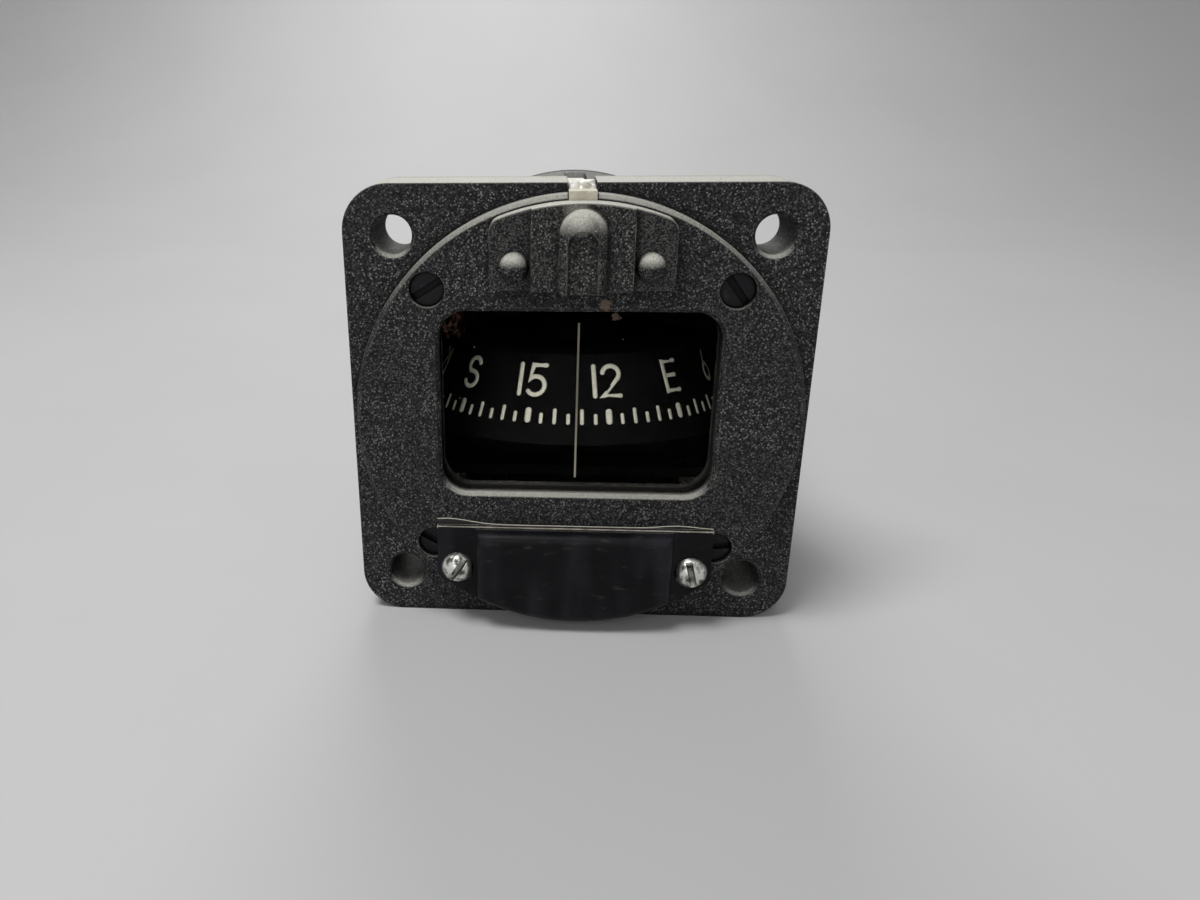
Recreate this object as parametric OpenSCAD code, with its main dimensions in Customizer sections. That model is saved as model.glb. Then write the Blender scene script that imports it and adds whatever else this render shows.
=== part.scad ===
// Small liquid-filled aircraft panel compass, mounted from behind the panel.
// Origin: centre of the flange's front face. X to the right, Y into the panel, Z up.

/* [Flange and case] */
// Side of the square flange
flange_w = 60.3; // [54:0.1:70]
// Thickness of the flange
flange_t = 9.8; // [9:0.1:14]
// Corner radius of the flange
flange_corner_r = 6; // [3:0.5:8]
// Distance of the mounting holes from the flange's edges
mount_margin = 6.35; // [5.5:0.05:8]
// Diameter of the mounting holes
mount_hole_d = 5; // [3:0.1:5.6]
// Width of the countersink round each mounting hole
mount_chamfer = 0.4; // [0.1:0.1:0.8]
// How far the round case lies inside the flange's edges
case_margin = 2.35; // [1.8:0.05:3]
// Wall of the bowl
bowl_wall = 2.3; // [2:0.1:3]
// Distance from the flange's front face to the bowl
bowl_front = 11; // [10.4:0.1:13]

/* [Bezel and window] */
// How far the front disc lies inside the flange's edges
bezel_margin = 1.05; // [0.6:0.05:2]
// How far the disc stands out from the flange
bezel_t = 3.2; // [2.8:0.1:4]
// Chamfer on the rim of the disc
bezel_chamfer = 0.5; // [0.2:0.1:0.8]
// Distance from the window's sides to the disc's rim
window_side_margin = 10.7; // [9.6:0.1:12]
// Distance from the window's upper edge to the top of the disc
window_top_margin = 13.8; // [13:0.1:15]
// Distance from the window's lower edge to the bottom of the disc
window_foot_margin = 18.6; // [17.6:0.1:19.6]
// Corner radius of the window
window_corner_r = 4; // [3:0.1:5]
// Bevel round the window
window_bevel = 0.5; // [0.3:0.1:1]
// Distance of the bezel screws from the disc's rim
bezel_screw_margin = 3.1; // [2.8:0.1:3.6]
// Distance between each lower bezel screw and the cover screw beside it
screw_pitch = 4.6; // [4.2:0.1:5.2]
// Diameter of the bezel screws' heads
bezel_head_d = 4.3; // [3.6:0.1:4.6]
// Thickness of the glass
glass_t = 2.2; // [1.8:0.1:2.6]
// How far the glass reaches into the bezel
glass_inset = 1.6; // [1.2:0.1:1.8]
// How far the glass laps the window all round
glass_lap = 1.5; // [1.4:0.1:2.2]
// Thickness of the window gasket
window_gasket_t = 0.8; // [0.4:0.1:1]
// Width of the lubber line
lubber_w = 0.35; // [0.2:0.05:0.8]
// How far the lubber line's ends lie inside the window
lubber_margin = 2.15; // [1:0.05:5]

/* [Lamp] */
// Width of the lamp housing
lamp_w = 22.3; // [21.6:0.1:24]
// Gap between the window and the lamp housing
lamp_gap = 2.8; // [2:0.1:3.4]
// How far the housing's curved top lies inside the disc's rim
lamp_margin = 0.7; // [0.5:0.05:1.2]
// Thickness of the housing's side ears
lamp_ear_t = 3; // [2:0.1:3.5]
// Width of the ears beside the block
lamp_ear_w = 5.05; // [4.9:0.05:5.4]
// How far the middle block stands out from the ears
lamp_block_step = 1; // [0.6:0.1:2]
// Width of the lamp barrel
lamp_barrel_w = 5.6; // [5.2:0.1:6.2]
// How far the lamp barrel stands out from the middle block
lamp_barrel_step = 2.2; // [2:0.1:3.4]
// Distance of the rivets from the housing's sides
lamp_rivet_side = 3.05; // [2.6:0.05:3.2]
// Height of the rivets above the housing's lower edge
lamp_rivet_rise = 2.8; // [2.2:0.1:4]
// Diameter of the rivet heads
lamp_rivet_d = 3.6; // [2.8:0.1:3.7]
// Diameter of the bulb
bulb_d = 3.2; // [2.4:0.1:3.4]
// Width of the groove for the lamp's lead
groove_w = 3.6; // [3:0.1:4.4]
// Depth of the groove in the round case
groove_depth = 1.2; // [0.9:0.1:1.5]
// Thickness of the lead strip
lead_t = 0.4; // [0.2:0.05:0.5]

/* [Compensator] */
// Distance of the compensator's middle from the disc's rim
comp_margin = 8.6; // [8:0.1:9]
// Height of the compensator's pocket
comp_h = 7.6; // [7:0.1:8.4]
// Thickness of the frame's front plate
comp_plate_t = 1; // [0.8:0.1:1.4]
// Gap between the window and the cover
cover_gap = 4.2; // [3.6:0.1:4.6]
// Thickness of the cover's plate
cover_t = 0.7; // [0.5:0.1:1.2]
// Gap between the cover's raised panel and the heads of the cover screws
panel_gap = 0.45; // [0.3:0.05:1.2]
// How far the raised panel stands out from the cover's plate
panel_t = 1.8; // [1.5:0.1:2.4]
// Distance of the cover screws from the compensator's plate
cover_screw_gap = 1.7; // [1.5:0.1:2.2]
// Distance of the cover screws from the cover's sides
cover_screw_side = 2.7; // [2.4:0.1:3]
// Distance of the cover screws from the disc's rim
cover_screw_margin = 2.75; // [2.5:0.05:3.3]
// Diameter of the cover screws' heads
cover_head_d = 4.5; // [3.6:0.1:4.9]
// Thickness of the sheet behind the cover
cover_gasket_t = 0.15; // [0.1:0.05:0.3]
// Module of the compensator's gears
gear_module = 0.45; // [0.4:0.01:0.5]
// Teeth on each of the compensator's gears, an odd number
gear_teeth = 11; // [9:2:13]
// Diameter of the compensator's bar magnets
comp_magnet_d = 1.4; // [1:0.1:1.6]

/* [Card] */
// Distance of the card's front edge behind the flange's front face
card_front = 4.2; // [3.9:0.1:5]
// Gap between the card and the bowl
card_gap = 2.2; // [2:0.1:3]
// Height of the card's lower edge
card_bottom_z = -5; // [-5.6:0.1:-4.4]
// Height of the card
card_h = 12; // [11:0.1:12.6]
// Lean of the card's face from upright, in degrees
card_lean = 23.4; // [20:0.1:26]
// Thickness of the card
card_t = 0.5; // [0.3:0.1:0.8]
// Height of the pivot
pivot_z = 4.5; // [4:0.1:5]
// Radius of the rounded pivot tip
tip_r = 0.35; // [0.3:0.01:0.4]
// Radius of the pivot post
post_r = 2.2; // [2:0.1:2.6]
// Height of the pivot bridge's upper face
bridge_z = -13.1; // [-14:0.1:-12]
// Thickness of the pivot bridge
bridge_t = 1.5; // [1:0.1:2]

/* [Rear] */
// Gap between the card and the rear end of the case
rear_gap = 2.2; // [2:0.1:4]
// Thickness of the rear gasket
rear_gasket_t = 0.5; // [0.3:0.1:1]
// Thickness of the diaphragm
diaphragm_t = 0.4; // [0.3:0.05:0.6]
// Thickness of the rear cover's rim
rear_rim_t = 1.8; // [1.4:0.1:2.6]
// Height of the raised middle of the rear cover
rear_dome_t = 1.6; // [1:0.1:2.4]
// Number of rear cover screws
rear_screws_n = 6; // [5:1:8]
// Distance of the rear cover screws from the rim
rear_screw_margin = 2.4; // [2.2:0.1:2.8]

/* [Hidden] */
$fn = 96;

// Clearances and fastener sizes that several pieces share
run_gap = 0.04;
seat_gap = 0.1;
cut = 1;
screw_r = 1.1;
slot_w = 0.9;
slot_share = 0.45;
dome_slot_share = 0.65;

// Case, and the card's place in it
mount_place = flange_w / 2 - mount_margin;
barrel_r = flange_w / 2 - case_margin;
bowl_r = barrel_r - bowl_wall;
card_r = bowl_r - card_gap;
card_y = card_front + card_r;
barrel_back = card_y + card_r + rear_gap;

// Front disc and its window
bezel_r = flange_w / 2 - bezel_margin;
window_top = bezel_r - window_top_margin;
window_foot = window_foot_margin - bezel_r;
window_w = 2 * (bezel_r - window_side_margin);
window_h = window_top - window_foot;
window_z = (window_top + window_foot) / 2;

// Glass, its seat, the opening behind it and the lubber line
glass_w = window_w - 2 * window_bevel + 2 * glass_lap;
glass_h = window_h - 2 * window_bevel + 2 * glass_lap;
glass_corner_r = window_corner_r - window_bevel + glass_lap;
glass_back = glass_t - glass_inset;
seat_y = glass_back + window_gasket_t;
throat_lap = 1.5;
throat_w = glass_w - 2 * throat_lap;
throat_h = glass_h - 2 * throat_lap;
throat_t = 1.2;
flare_side = 2.6;
flare_rise = 1.2;
flare_drop = 3;
flare_corner_r = 5;
flare_w = throat_w + 2 * flare_side;
flare_top = window_z + throat_h / 2 + flare_rise;
flare_bottom = window_z - throat_h / 2 - flare_drop;
lubber_t = 0.1;
lubber_drop = 0.4;
lubber_len = window_h - 2 * lubber_margin;

// Lamp housing
lamp_bottom_z = window_top + lamp_gap;
lamp_top_r = bezel_r - lamp_margin;
lamp_block_w = lamp_w - 2 * lamp_ear_w;
lamp_ear_y = -bezel_t - lamp_ear_t;
lamp_block_y = lamp_ear_y - lamp_block_step;
lamp_front_y = lamp_block_y - lamp_barrel_step;
lamp_corner_r = 1.2;
ear_corner_r = 1.6;
ear_corner_x = lamp_w / 2 - ear_corner_r;
ear_corner_z = sqrt(pow(lamp_top_r - ear_corner_r, 2) - pow(ear_corner_x, 2));
ear_trim = 1;
barrel_edge_r = 1.3;
barrel_edge_step = 9;
barrel_drop = 0.6;
recess_rim = 1;
recess_w = lamp_barrel_w - 2 * recess_rim;
recess_t = 0.6;
recess_drop = 2.9;
recess_top_z = lamp_top_r - recess_drop;
lamp_rivet_x = lamp_w / 2 - lamp_rivet_side;
lamp_rivet_z = lamp_bottom_z + lamp_rivet_rise;
rivet_r = 0.9;
rivet_head_t = 1.4;

// Bulb, socket and lead
socket_wall = 0.3;
socket_r = bulb_d / 2 + socket_wall;
socket_skirt = 1.2;
socket_reach = 2;
lamp_wall = 0.4;
lamp_y = lamp_front_y + recess_t + lamp_wall + socket_r + run_gap;
groove_z = barrel_r - groove_depth;
insulator_t = 0.15;
insulator_reach = 1;
insulator_rise = 0.3;
insulator_w = groove_w - 2 * seat_gap;
lead_side = 0.3;
lead_end = 8;
lead_w = groove_w - 2 * lead_side;
lead_z = groove_z + insulator_t;
lead_rise = 0.85;
socket_top = lead_z - lead_rise;
bulb_rise = 1.2;
bulb_bottom = lamp_bottom_z + bulb_rise;
bulb_top = socket_top - socket_reach;
bulb_len = bulb_top - bulb_bottom;
lead_back = barrel_back - lead_end;
solder_y = 2.2;
solder_r = groove_w / 2 - seat_gap;
solder_drop = 0.05;
solder_z = flange_w / 2 - solder_drop - solder_r;
solder_tail = 2.4;
solder_tail_r = 1.5;
runout_len = 4.5;
runout_y = lead_back + insulator_reach + run_gap;

// Compensator's gears and magnets
comp_z = comp_margin - bezel_r;
pitch_r = gear_module * gear_teeth / 2;
gear_r = pitch_r + gear_module;
gear_gap = 0.4;
gear_backlash = 0.05;
bevel_gap = 0.75;
bevel_face = 1.3;
bevel_y = comp_plate_t + bevel_gap + pitch_r;
wheel_hub = 0.6;
hub_back_r = 1.5;
boss_r = 2.3;
boss_t = 1.9;
wheel_reach = pitch_r + wheel_hub + boss_t;
magnet_len = 2 * sqrt(pow(boss_r, 2) - pow(comp_magnet_d / 2, 2)) - seat_gap;
arbor_r = 0.7;
arbor_len = 0.7;
end_gap = 0.15;
spur_gap = 0.3;
spur_t = 1.7;
spur_y = comp_plate_t + spur_gap;
spur_boss_gap = 0.2;
spur_boss_y = spur_y + spur_t + spur_boss_gap;
foot_share = 0.29;
tip_share = 0.11;
rise_share = 0.7;
adjuster_r = 0.9;
adjuster_head_r = 2;
adjuster_head_t = 1.3;

// Compensator's frame, as wide as the row of gears in it
frame_side_t = 0.9;
frame_end_t = 1.2;
cheek_t = 0.8;
frame_w = frame_side_t + 2 * (end_gap + wheel_reach) + cheek_t + gear_gap + 2 * gear_r
          + 2 * pitch_r + gear_backlash + frame_end_t;
frame_h = comp_h - 2 * seat_gap;
comp_w = frame_w + 2 * seat_gap;
bevel_x = -frame_w / 2 + frame_side_t + end_gap + wheel_reach;
ns_x = bevel_x + wheel_reach + end_gap + cheek_t + gear_gap + gear_r;
ns_mate_x = ns_x + 2 * pitch_r + gear_backlash;
back_gap = 0.1;
back_plate_t = 1;
back_plate_y = bevel_y + gear_r + back_gap;
pocket_back = back_plate_y + back_plate_t;
pocket_corner_r = 1;
ear_reach = 2;
ear_h = 4;

// Compensator's cover
cover_r = bezel_r - seat_gap;
cover_y = -bezel_t - cover_gasket_t - cover_t;
cover_top_z = window_foot - cover_gap;
cover_screw_circle = bezel_r - cover_screw_margin;
cover_screw_x = comp_w / 2 + ear_reach + cover_screw_gap;
cover_screw_angle = acos(cover_screw_x / cover_screw_circle);
cover_screw_z = -cover_screw_circle * sin(cover_screw_angle);
cover_w = 2 * (cover_screw_x + cover_screw_side);
panel_w = 2 * (cover_screw_x - cover_head_d / 2 - panel_gap);
cover_screw_len = 6;
cover_head_t = 1.6;
cover_wall = 0.6;
panel_drop = 0.45;
panel_edge = 0.5;
panel_foot = 1.2;
panel_lip = 0.4;
panel_soft_r = 1.3;
panel_depth = panel_t + cover_t / 2;
panel_top_z = cover_top_z - panel_drop;

// Bezel screws, one beside each cover screw
bezel_screw_circle = bezel_r - bezel_screw_margin;
bezel_screw_angle = cover_screw_angle - 2 * asin(screw_pitch / 2 / bezel_screw_circle);
bezel_screw_x = bezel_screw_circle * cos(bezel_screw_angle);
bezel_screw_z = bezel_screw_circle * sin(bezel_screw_angle);
bezel_screw_len = 6.5;
bezel_head_t = 1.3;
bezel_head_sink = 0.6;

// Curls of the thin sheet's upper edge: place, half width and height of each
sheet_rise = 0.03;
left_curl = [-17.4, 4.2, 0.85];
right_curl = [14, 3, 0.4];
sheet_steps = 24;

// Card, float and magnets
card_top_z = card_bottom_z + card_h;
card_top_r = card_r - card_h * tan(card_lean);
dome_r = 5.5;
dome_rise = 5.5;
dome_z = pivot_z + dome_rise;
hub_r = 2;
hub_drop = 1.3;
hub_rise = 1;
hub_bottom = dome_z - hub_drop;
hub_top = dome_z + hub_rise;
float_h = 4.1;
float_margin = 4.6;
float_play = 0.5;
float_edge = 1.2;
float_top = card_top_z - card_t;
float_bottom = float_top - float_h;
float_r = card_top_r - float_margin;
float_bore_r = dome_r + float_play;
carrier_t = 0.6;
magnet_side = 2;
magnet_half = 8.5;
magnet_x = 8.2;

// Pivot, jewel and bridge
pin_r = 0.8;
pin_taper = 2;
pin_rise = 0.4;
pin_foot_share = 0.8;
collar_r = 1.5;
collar_t = 0.6;
collar_top = hub_bottom - run_gap;
jewel_r = 1.2;
jewel_h = 1.8;
jewel_rise = 0.5;
jewel_top = pivot_z + jewel_rise;
jewel_rim_share = 0.75;
jewel_floor_share = 0.25;
spring_len = 3;
spring_turns = 5;
spring_r = 0.85;
wire_r = 0.16;
wire_sides = 6;
turn_steps = 16;
retainer_bore_r = 1.1;
retainer_wall = 0.7;
retainer_skirt = 2.4;
spigot_r = 1.5;
bridge_w = 8;
bridge_gap = 0.3;
bridge_screw_edge = 2.2;
bridge_screw_len = 3;
bridge_head_r = 1.6;
bridge_head_t = 1;
bridge_half = sqrt(pow(bowl_r, 2) - pow(bridge_z - bridge_t, 2)) - bridge_gap;
bridge_screw_x = bridge_half - bridge_screw_edge;
ledge_w = 8;
ledge_h = 4;

// Rear of the case and the filler plug
rear_screw_circle = barrel_r - rear_screw_margin;
rear_screw_r = 0.9;
rear_screw_len = 5;
rear_head_r = 1.7;
rear_head_t = 1.2;
rear_slot_turn = 25;
lug_r = 2.1;
lug_len = 8;
diaphragm_y = barrel_back + rear_gasket_t;
rear_y = diaphragm_y + diaphragm_t;
rear_out = rear_y + rear_rim_t;
gasket_lap = 2;
gasket_bore_r = rear_screw_circle - gasket_lap;
chamber_margin = 4.4;
rear_chamber_r = rear_screw_circle - chamber_margin;
ripple_margin = 1;
ripple_r = rear_chamber_r - ripple_margin;
ripple_h = 0.7;
ripples = 4;
ripple_steps = 12;
rear_wall = 1.2;
rear_edge = 0.5;
rear_dome_r = rear_screw_circle - rear_head_r - rear_edge;
vent_r = 0.75;
plug_r = 2;
plug_head_r = 3.2;
plug_head_t = 1.6;
plug_boss = 2;
plug_sink = 1;
plug_gap = 0.8;
plug_slot_turn = 20;
plug_y = barrel_back - lug_len - plug_head_r - plug_gap;
plug_flat = barrel_r - plug_sink;
washer_t = 0.4;

// Round bar along Y from y0 to y1
module ybar(r, y0, y1) {
    translate([0, y0, 0]) rotate([-90, 0, 0]) cylinder(r = r, h = y1 - y0);
}

// Round bar along X from x0 to x1
module xbar(r, x0, x1) {
    translate([x0, 0, 0]) rotate([0, 90, 0]) cylinder(r = r, h = x1 - x0);
}

// Solid of revolution about the Y axis: the outline's x is the radius, its y the distance along Y
module yturn() {
    rotate([-90, 0, 0]) rotate_extrude() children();
}

// Block w wide and h high between y0 and y1, with its four long edges rounded
module rounded_block(w, h, r, y0, y1) {
    translate([-w / 2 + r, y0, -h / 2]) cube([w - 2 * r, y1 - y0, h]);
    translate([-w / 2, y0, -h / 2 + r]) cube([w, y1 - y0, h - 2 * r]);
    for (x = [-1, 1], z = [-1, 1])
        translate([x * (w / 2 - r), 0, z * (h / 2 - r)]) ybar(r, y0, y1);
}

// Places its children at the four corners of a rectangle
module at_corners(x, z) {
    for (sx = [-1, 1], sz = [-1, 1])
        translate([sx * x, 0, sz * z]) children();
}

// Places its children at both sides
module at_sides(x, z) {
    for (sx = [-1, 1])
        translate([sx * x, 0, z]) children();
}

// Places its children round the rear screw circle
module at_rear_screws() {
    for (i = [0:rear_screws_n - 1])
        rotate([0, i * 360 / rear_screws_n, 0]) translate([rear_screw_circle, 0, 0]) children();
}

// Screw along Y: flat head in front, its slot turned by an angle, shank to the rear
module slotted_screw(head_r, head_t, shank_r, shank_len, angle) {
    difference() {
        union() {
            ybar(head_r, -head_t, 0);
            ybar(shank_r, -head_t / 2, shank_len);
        }
        rotate([0, angle, 0])
            translate([-head_r - cut, -head_t - cut, -slot_w / 2])
                cube([2 * (head_r + cut), cut + head_t * slot_share, slot_w]);
    }
}

// Screw with a domed head
module domed_screw(head_r, head_t, shank_r, shank_len, angle) {
    ball_r = (pow(head_r, 2) + pow(head_t, 2)) / (2 * head_t);
    difference() {
        union() {
            intersection() {
                translate([0, ball_r - head_t, 0]) sphere(ball_r);
                ybar(head_r, -head_t - cut, 0);
            }
            ybar(shank_r, -head_t / 2, shank_len);
        }
        rotate([0, angle, 0])
            translate([-head_r - cut, -head_t - cut, -slot_w / 2])
                cube([2 * (head_r + cut), cut + head_t * dome_slot_share, slot_w]);
    }
}

// Opening that takes the compensator, cut between two depths
module pocket(y0, y1) {
    translate([0, 0, comp_z]) rounded_block(comp_w, comp_h, pocket_corner_r, y0, y1);
}

// Groove along the top for the lamp's lead, in the bezel
module bezel_groove() {
    translate([-groove_w / 2, -bezel_t - cut, groove_z]) cube([groove_w, bezel_t + 2 * cut, flange_w]);
}

// The same groove in the case, which runs out to the round wall at its rear end
module case_groove() {
    translate([-groove_w / 2, 0, 0]) rotate([90, 0, 90]) linear_extrude(groove_w)
        polygon([[-cut, groove_z], [runout_y, groove_z], [runout_y + runout_len, barrel_r + cut],
                 [-cut, flange_w]]);
}

// Ledges inside the bowl that carry the pivot bridge
module bridge_ledges() {
    top = bridge_z - bridge_t;
    for (s = [-1, 1])
        translate([s * (bridge_screw_x + ledge_w / 4) - ledge_w / 2, card_y - bridge_w / 2,
                   top - ledge_h])
            cube([ledge_w, bridge_w, ledge_h]);
}

// Space inside the bowl, round the screw lugs, the bridge's ledges and the filler's boss
module bowl_space() {
    difference() {
        ybar(bowl_r, bowl_front, barrel_back + cut);
        at_rear_screws() ybar(lug_r, barrel_back - lug_len, barrel_back + 2 * cut);
        bridge_ledges();
        translate([0, plug_y, 0]) xbar(plug_head_r, -barrel_r, -bowl_r + plug_boss);
    }
}

// Flange, round case and bowl in one casting, without its openings
module case_casting() {
    difference() {
        union() {
            rounded_block(flange_w, flange_w, flange_corner_r, 0, flange_t);
            ybar(barrel_r, flange_t / 2, barrel_back);
        }
        bowl_space();
    }
}

// Opening that widens behind the window so that the card can swing near the glass
module window_flare() {
    intersection() {
        translate([0, 0, (flare_top + flare_bottom) / 2])
            rounded_block(flare_w, flare_top - flare_bottom, flare_corner_r,
                          seat_y + throat_t, bowl_front + cut);
        ybar(bowl_r, 0, bowl_front + 2 * cut);
    }
}

module case_body() color("#24221d") difference() {
    case_casting();
    translate([0, 0, window_z]) {
        rounded_block(glass_w + 2 * seat_gap, glass_h + 2 * seat_gap, glass_corner_r, -cut, seat_y);
        rounded_block(throat_w, throat_h, window_corner_r, 0, seat_y + throat_t + cut);
    }
    window_flare();
    pocket(-cut, pocket_back);
    translate([0, 0, comp_z])
        rounded_block(comp_w + 2 * (ear_reach + seat_gap), ear_h + 2 * seat_gap, pocket_corner_r,
                      -cut, comp_plate_t);
    case_groove();
    at_corners(mount_place, mount_place) {
        ybar(mount_hole_d / 2, -cut, flange_t + cut);
        yturn() polygon([[0, -cut], [mount_hole_d / 2 + mount_chamfer + cut, -cut],
                         [mount_hole_d / 2, mount_chamfer], [0, mount_chamfer]]);
    }
    at_corners(bezel_screw_x, bezel_screw_z) ybar(screw_r + run_gap, -cut, bezel_screw_len);
    at_sides(cover_screw_x, cover_screw_z) ybar(screw_r + run_gap, -cut, cover_screw_len);
    at_rear_screws() ybar(rear_screw_r + run_gap, barrel_back - rear_screw_len, barrel_back + cut);
    for (s = [-1, 1])
        translate([s * bridge_screw_x, card_y, bridge_z - bridge_t - bridge_screw_len])
            cylinder(r = rear_screw_r + run_gap, h = bridge_screw_len + cut);
    translate([0, plug_y, 0]) {
        xbar(plug_head_r + seat_gap, -barrel_r - cut, -plug_flat);
        xbar(plug_r + run_gap, -barrel_r, -bowl_r + plug_boss + cut);
    }
}

module front_bezel() color("#26241f") difference() {
    yturn() polygon([[0, -bezel_t], [bezel_r - bezel_chamfer, -bezel_t],
                     [bezel_r, -bezel_t + bezel_chamfer], [bezel_r, 0], [0, 0]]);
    translate([0, 0, window_z]) {
        rounded_block(window_w - 2 * window_bevel, window_h - 2 * window_bevel,
                      window_corner_r - window_bevel, -bezel_t - cut, cut);
        rounded_block(glass_w + 2 * seat_gap, glass_h + 2 * seat_gap, glass_corner_r, -glass_inset, cut);
        hull() for (x = [-1, 1], z = [-1, 1])
            translate([x * (window_w / 2 - window_corner_r), -bezel_t - window_bevel,
                       z * (window_h / 2 - window_corner_r)])
                rotate([-90, 0, 0])
                    cylinder(r1 = window_corner_r + window_bevel, r2 = window_corner_r - window_bevel,
                             h = 2 * window_bevel, $fn = 64);
    }
    at_corners(bezel_screw_x, bezel_screw_z) {
        ybar(screw_r + seat_gap, -bezel_t - cut, cut);
        ybar(bezel_head_d / 2 + seat_gap, -bezel_t - cut, -bezel_t + bezel_head_sink + bezel_head_t);
    }
    at_sides(cover_screw_x, cover_screw_z) ybar(screw_r + run_gap, -bezel_t - cut, cut);
    at_sides(lamp_rivet_x, lamp_rivet_z) ybar(rivet_r + run_gap, -bezel_t - cut, cut);
    pocket(-bezel_t - cut, cut);
    bezel_groove();
}

module bezel_screws() color("#35332d")
    for (s = [[-1, 1, -32], [1, 1, 53], [-1, -1, 30], [1, -1, -5]])
        translate([s[0] * bezel_screw_x, bezel_head_sink + bezel_head_t - bezel_t, s[1] * bezel_screw_z])
            slotted_screw(bezel_head_d / 2, bezel_head_t, screw_r, bezel_screw_len, s[2]);

module window_glass() color("#8fa0a8", 0.4) translate([0, 0, window_z])
    rounded_block(glass_w, glass_h, glass_corner_r, -glass_inset, glass_back);

module window_gasket() color("#151515") translate([0, 0, window_z]) difference() {
    rounded_block(glass_w, glass_h, glass_corner_r, glass_back, seat_y);
    rounded_block(throat_w, throat_h, window_corner_r, glass_back - cut, seat_y + cut);
}

module lubber_line() color("#e6e0c0")
    translate([-lubber_w / 2, glass_back, window_z - lubber_drop - lubber_len / 2])
        cube([lubber_w, lubber_t, lubber_len]);

// Cross-section of the lamp barrel, seen from above, with rounded front edges
function barrel_arc(side, from, to) =
    [for (a = [from:barrel_edge_step:to])
        [side * (lamp_barrel_w / 2 - barrel_edge_r) + barrel_edge_r * cos(a),
         lamp_front_y + barrel_edge_r + barrel_edge_r * sin(a)]];
function barrel_section() = concat([[-lamp_barrel_w / 2, -bezel_t]], barrel_arc(-1, 180, 270),
                                   barrel_arc(1, 270, 360), [[lamp_barrel_w / 2, -bezel_t]]);

// Upright lamp barrel with a domed top
module lamp_barrel() {
    top = lamp_top_r - barrel_drop - lamp_barrel_w / 2;
    translate([0, 0, lamp_bottom_z])
        linear_extrude(top - lamp_bottom_z) polygon(barrel_section());
    translate([0, 0, top])
        yturn() intersection() {
            polygon(barrel_section());
            translate([0, -flange_w]) square([lamp_barrel_w, 2 * flange_w]);
        }
}

// Sunk front face of the lamp barrel, open at the bottom
module barrel_recess() {
    translate([0, lamp_front_y - cut, recess_top_z - recess_w / 2]) {
        ybar(recess_w / 2, 0, cut + recess_t);
        translate([-recess_w / 2, 0, -flange_w]) cube([recess_w, cut + recess_t, flange_w]);
    }
}

// Bore for the socket, and the way of the lead from the socket to the groove
module lamp_bore() {
    translate([0, lamp_y, lamp_bottom_z - cut])
        cylinder(r = socket_r + run_gap, h = socket_top - lamp_bottom_z + cut);
    translate([-lead_w / 2 - seat_gap, lamp_y - lead_t - seat_gap, socket_top - cut])
        cube([lead_w + 2 * seat_gap, cut - bezel_t - lamp_y + lead_t,
              lead_z + lead_t + seat_gap - socket_top + cut]);
}

// Sharp corner between an ear's side and the round top, outside the corner's rounding
module ear_corner() {
    k = (lamp_top_r + ear_trim) / (lamp_top_r - ear_corner_r);
    side = lamp_w / 2 + ear_trim;
    difference() {
        rotate([90, 0, 0]) linear_extrude(-lamp_block_y)
            polygon([[ear_corner_x, ear_corner_z], [side, ear_corner_z], [side, lamp_top_r],
                     [ear_corner_x * k, ear_corner_z * k]]);
        translate([ear_corner_x, 0, ear_corner_z]) ybar(ear_corner_r, lamp_block_y - cut, cut);
    }
}

module lamp_housing() color("#2b2a25") difference() {
    union() {
        intersection() {
            union() {
                translate([0, 0, (lamp_top_r + lamp_bottom_z) / 2])
                    rounded_block(lamp_w, lamp_top_r - lamp_bottom_z, lamp_corner_r, lamp_ear_y, -bezel_t);
                translate([-lamp_block_w / 2, lamp_block_y, lamp_bottom_z])
                    cube([lamp_block_w, -bezel_t - lamp_block_y, lamp_top_r]);
            }
            ybar(lamp_top_r, lamp_block_y - cut, cut);
        }
        lamp_barrel();
    }
    lamp_bore();
    barrel_recess();
    for (s = [0, 1]) mirror([s, 0, 0]) ear_corner();
    at_sides(lamp_rivet_x, lamp_rivet_z) ybar(rivet_r + run_gap, lamp_front_y, 0);
}

module lamp_rivets() color("#34322c")
    at_sides(lamp_rivet_x, lamp_rivet_z) translate([0, lamp_ear_y, 0]) {
        ball_r = (pow(lamp_rivet_d / 2, 2) + pow(rivet_head_t, 2)) / (2 * rivet_head_t);
        intersection() {
            translate([0, ball_r - rivet_head_t, 0]) sphere(ball_r);
            ybar(lamp_rivet_d / 2, -rivet_head_t - cut, 0);
        }
        ybar(rivet_r, -rivet_head_t / 2, lamp_ear_t + bezel_t - seat_gap);
    }

module lamp_bulb() color("#e8e6da", 0.6) translate([0, lamp_y, 0]) {
    translate([0, 0, bulb_bottom + bulb_d / 2]) {
        sphere(bulb_d / 2);
        cylinder(d = bulb_d, h = bulb_len - bulb_d / 2);
    }
}

module lamp_socket() color("#b08d3c") translate([0, lamp_y, 0]) difference() {
    translate([0, 0, bulb_top - socket_skirt]) cylinder(r = socket_r, h = socket_reach + socket_skirt);
    translate([0, 0, bulb_top - socket_skirt - cut])
        cylinder(r = bulb_d / 2 + run_gap, h = socket_skirt + cut);
}

module lamp_filter() color("#8e1d16", 0.8) translate([0, lamp_y, lamp_bottom_z + seat_gap])
    cylinder(r = socket_r, h = bulb_rise - 3 * seat_gap);

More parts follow.
